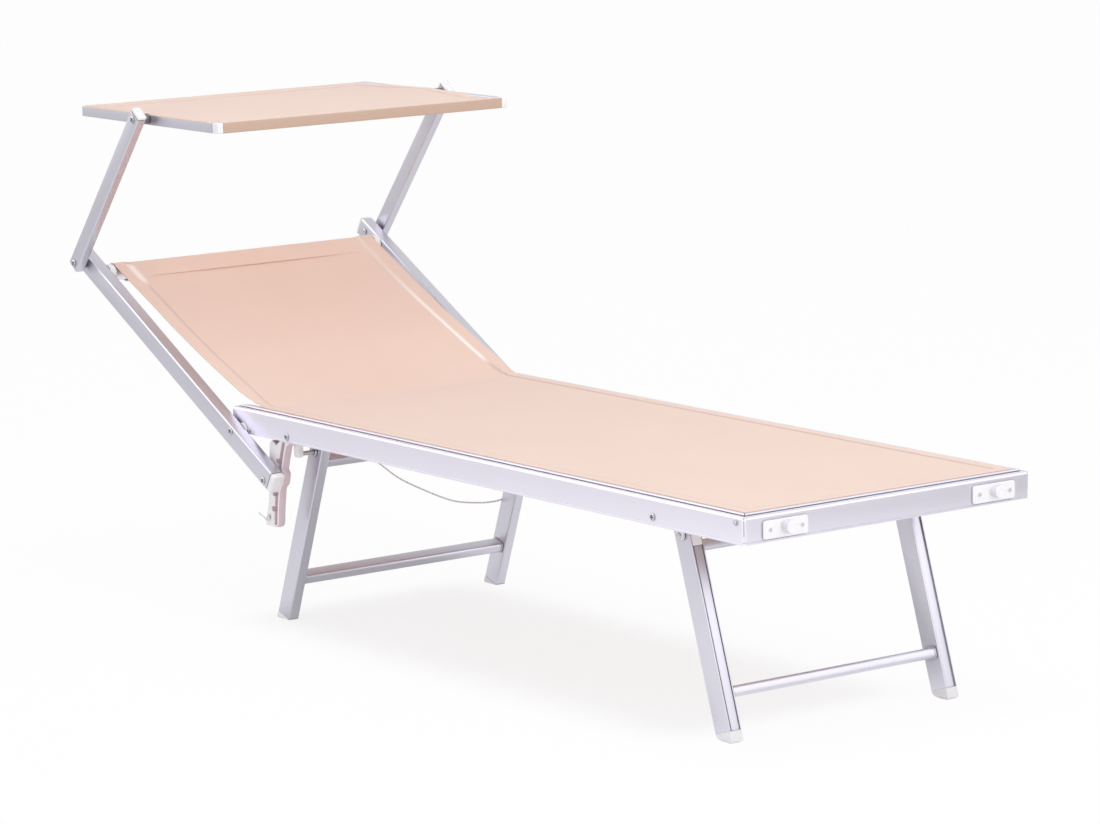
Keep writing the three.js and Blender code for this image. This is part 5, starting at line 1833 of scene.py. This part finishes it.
@dataclass
class Studio:
    """A white sweep: a pale floor with a painted shadow under the bed and painted reflections for the
    metal, an even dome of light and soft windows seen in the metal.
    """

    low_dome: Colour = (0.86, 0.85, 0.87, 1)
    high_dome: Colour = (0.62, 0.615, 0.63, 1)
    fill: tuple[float, float] = (0.95, 0.76)
    shade_centre: tuple[float, float, float] = (0.12, -0.05, 0.0)
    shade_half: tuple[float, float, float] = (0.6, 0.24, 1.0)
    lit_centre: tuple[float, float, float] = (1.3, -1.3, 0.0)
    lit_reach: tuple[float, float] = (1.0, 4.7)
    lit_levels: tuple[float, float] = (1.12, 0.72)
    under_level: float = 0.55
    card: tuple[float, float, float] = (2.8, 2.15, 0.0)
    card_reach: tuple[float, float] = (0.3, 1.3)
    card_level: float = 0.15
    key: float = 38.0
    side: float = 4.0
    front: float = 15.0
    floor_half: float = 30.0
    windows: tuple[tuple[float, float, float, float, float, float], ...] = (
        (-0.75, -0.35, 0.56, 0.9, 0.72, 0.97),
        (0.45, 0.5, 0.74, 0.4, 0.72, 0.97),
        (-0.25, -0.5, 0.82, 0.9, 0.72, 0.97),
        (0.58, -0.76, 0.15, 1.1, 0.72, 0.97),
        (0.74, 0.59, 0.32, 0.8, 0.92, 0.99),
    )
    levels: tuple[tuple[float, float], ...] = ((0.0, 0.6), (0.22, 1.0), (0.5, 0.85), (1.0, 0.8))

    def floor(self) -> None:
        """A plane at Z = 0, mostly as bright as the dome, so its shadows are pale; a painted shadow under
        the bed lowers that brightness.
        """
        h = self.floor_half
        mesh = bpy.data.meshes.new("floor")
        mesh.from_pydata([(-h, -h, 0), (h, -h, 0), (h, h, 0), (-h, h, 0)], [], [(0, 1, 2, 3)])
        floor = bpy.data.objects.new("floor", mesh)
        bpy.context.scene.collection.objects.link(floor)
        paint = bpy.data.materials.new("floor_paint")
        recipe = Recipe(paint)
        tint = {"Base Color": (0.95, 0.94, 0.95, 1), "Roughness": 0.9, "Specular IOR Level": 0.1}
        recipe.feed(recipe.shader, tint)
        where = recipe.add("TexCoord").outputs["Object"]
        shaded = self.under(recipe, where)
        white = recipe.add("Emission", {"Color": (1, 1, 1, 1), "Strength": 1.0}).outputs[0]
        paths = recipe.add("LightPath").outputs
        seen = recipe.math("MAXIMUM", paths["Is Camera Ray"], paths["Is Transmission Ray"])
        share = recipe.math("MULTIPLY", seen, recipe.ramp(shaded, *self.fill))
        plain = recipe.add("MixShader", {0: share, 1: recipe.shader.outputs[0], 2: white}).outputs[0]
        # For glossy rays the floor glows with painted reflections: bright toward the camera's side, dim
        # far off, darker in the painted shadow under the bed and in a dark patch past the foot's far
        # corner.
        lit = recipe.between(self.away(recipe, where, self.lit_centre), self.lit_reach, self.lit_levels)
        lit = recipe.math("MULTIPLY", lit, recipe.ramp(shaded, 1.0, self.under_level))
        away = self.away(recipe, where, self.card)
        card = recipe.between(away, self.card_reach, (self.card_level, 1.0))
        lit = recipe.math("MULTIPLY", lit, card)
        glow = recipe.add("Emission", {"Color": (1, 1, 1, 1), "Strength": lit}).outputs[0]
        mixed = recipe.add("MixShader", {0: paths["Is Glossy Ray"], 1: plain, 2: glow}).outputs[0]
        recipe.feed(recipe.tree.nodes["Material Output"], {"Surface": mixed})
        mesh.materials.append(paint)

    def away(self, recipe: Recipe, where: object, centre: tuple[float, float, float]) -> object:
        """The distance from a floor point to a centre."""
        inputs = {0: where, 1: centre}
        return recipe.add("VectorMath", inputs, operation="DISTANCE").outputs["Value"]

    def under(self, recipe: Recipe, where: object) -> object:
        """How far a floor point lies in the box of painted shadow under the bed, 0 to 1.

        With the point's distance from the shade's middle as a share of its half sides, it is
        the product over both directions of a smooth fall from 1 at 1 - s to 0 at 1 + s, where
        s is 0.12 along X and 0.35 along Y.
        """
        inputs = {0: where, 1: self.shade_centre}
        gap = recipe.add("VectorMath", inputs, operation="SUBTRACT").outputs[0]
        gap = recipe.add("VectorMath", {0: gap, 1: self.shade_half}, operation="DIVIDE").outputs[0]
        gap = recipe.add("VectorMath", {0: gap}, operation="ABSOLUTE").outputs[0]
        parts = recipe.add("SeparateXYZ", {0: gap}).outputs
        inside = []
        for word, soft in (("X", 0.12), ("Y", 0.35)):
            limits = (1 - soft, 1 + soft)
            fall = recipe.between(parts[word], limits, (1.0, 0.0), interpolation_type="SMOOTHSTEP")
            inside.append(fall)
        return recipe.math("MULTIPLY", *inside)

    def world(self) -> None:
        """The dome for all rays but glossy ones, which see levels by height and windows.

        A window adds its strength times a smooth step of the cosine between the ray and the
        window's direction, between the window's two limits.
        """
        world = bpy.data.worlds.new("studio")
        bpy.context.scene.world = world
        recipe = Recipe(world)
        background = recipe.tree.nodes["Background"]
        ray = recipe.add("TexCoord").outputs["Generated"]
        height = recipe.add("SeparateXYZ", {0: ray}).outputs["Z"]
        ramp = recipe.add("ValToRGB", {0: height})
        stops = ramp.color_ramp.elements
        stops[0].position, stops[1].position = self.levels[0][0], self.levels[-1][0]
        for place, _ in self.levels[1:-1]:
            stops.new(place)
        for stop, (_, level) in zip(stops, self.levels):
            stop.color = (level, level, level, 1)
        total = ramp.outputs[0]
        for x, y, z, strength, low, high in self.windows:
            inputs = {0: ray, 1: (x, y, z)}
            dot = recipe.add("VectorMath", inputs, operation="DOT_PRODUCT").outputs["Value"]
            glow = recipe.between(dot, (low, high), (0.0, strength), interpolation_type="SMOOTHSTEP")
            total = recipe.math("ADD", total, glow)
        paths = recipe.add("LightPath").outputs
        dome = recipe.blend(height, self.low_dome, self.high_dome)
        lit = recipe.blend(paths["Is Glossy Ray"], dome, total)
        shown = recipe.blend(paths["Is Camera Ray"], lit, (1, 1, 1, 1))
        recipe.feed(background, {"Color": shown})

    def lamp(self, name: str, place: tuple[float, float, float], power: float, size: float) -> None:
        """A large square lamp that looks at the lounger, and isn't seen in the metal."""
        data = bpy.data.lights.new(name, "AREA")
        data.shape, data.size, data.energy = "SQUARE", size, power
        lamp = bpy.data.objects.new(name, data)
        lamp.location = place
        aim = Vector((0.0, 0.0, 0.4)) - lamp.location
        lamp.rotation_euler = aim.to_track_quat("-Z", "Y").to_euler()
        lamp.visible_glossy = False
        bpy.context.scene.collection.objects.link(lamp)

    def build(self) -> None:
        """Makes floor, world and lamps, and sets the view transform."""
        self.floor()
        self.world()
        self.lamp("key", (1.0, -0.3, 3.5), self.key, 1.8)
        self.lamp("side", (-0.4, -3.8, 1.8), self.side, 2.6)
        self.lamp("front", (3.4, -0.2, 1.5), self.front, 2.6)
        bpy.context.scene.view_settings.view_transform = "Standard"


def main() -> None:
    """Builds camera, cord and every sub-assembly in order."""
    logging.basicConfig(level=logging.INFO, format="%(name)s %(message)s")
    PhotoCamera().build()
    ReleaseCord().build()
    BedFrame().build()
    LegFrame(
        "rear", axle=-REAR_SCREW[0], lean=20.0, foot=7.6, sole_radius=3.5, channelled=False
    ).build()
    LegFrame(
        "front", axle=FRONT_AXLE, lean=-17.5, foot=16.5, sole_radius=9.0, channelled=True,
        sole_spread=(1.6, 0.8), inner=216.7,
    ).build()
    for side in Side:
        Hanger(side).build()
    backrest = Backrest()
    backrest.build()
    Sling().build()
    arms = backrest.place.child(-542.3, -8.2, 9.0)
    CanopyArms(arms).build()
    Canopy(arms.child(0.0, ARM_REACH, -38.0)).build()
    Studio().build()


if __name__ == "__main__":
    main()
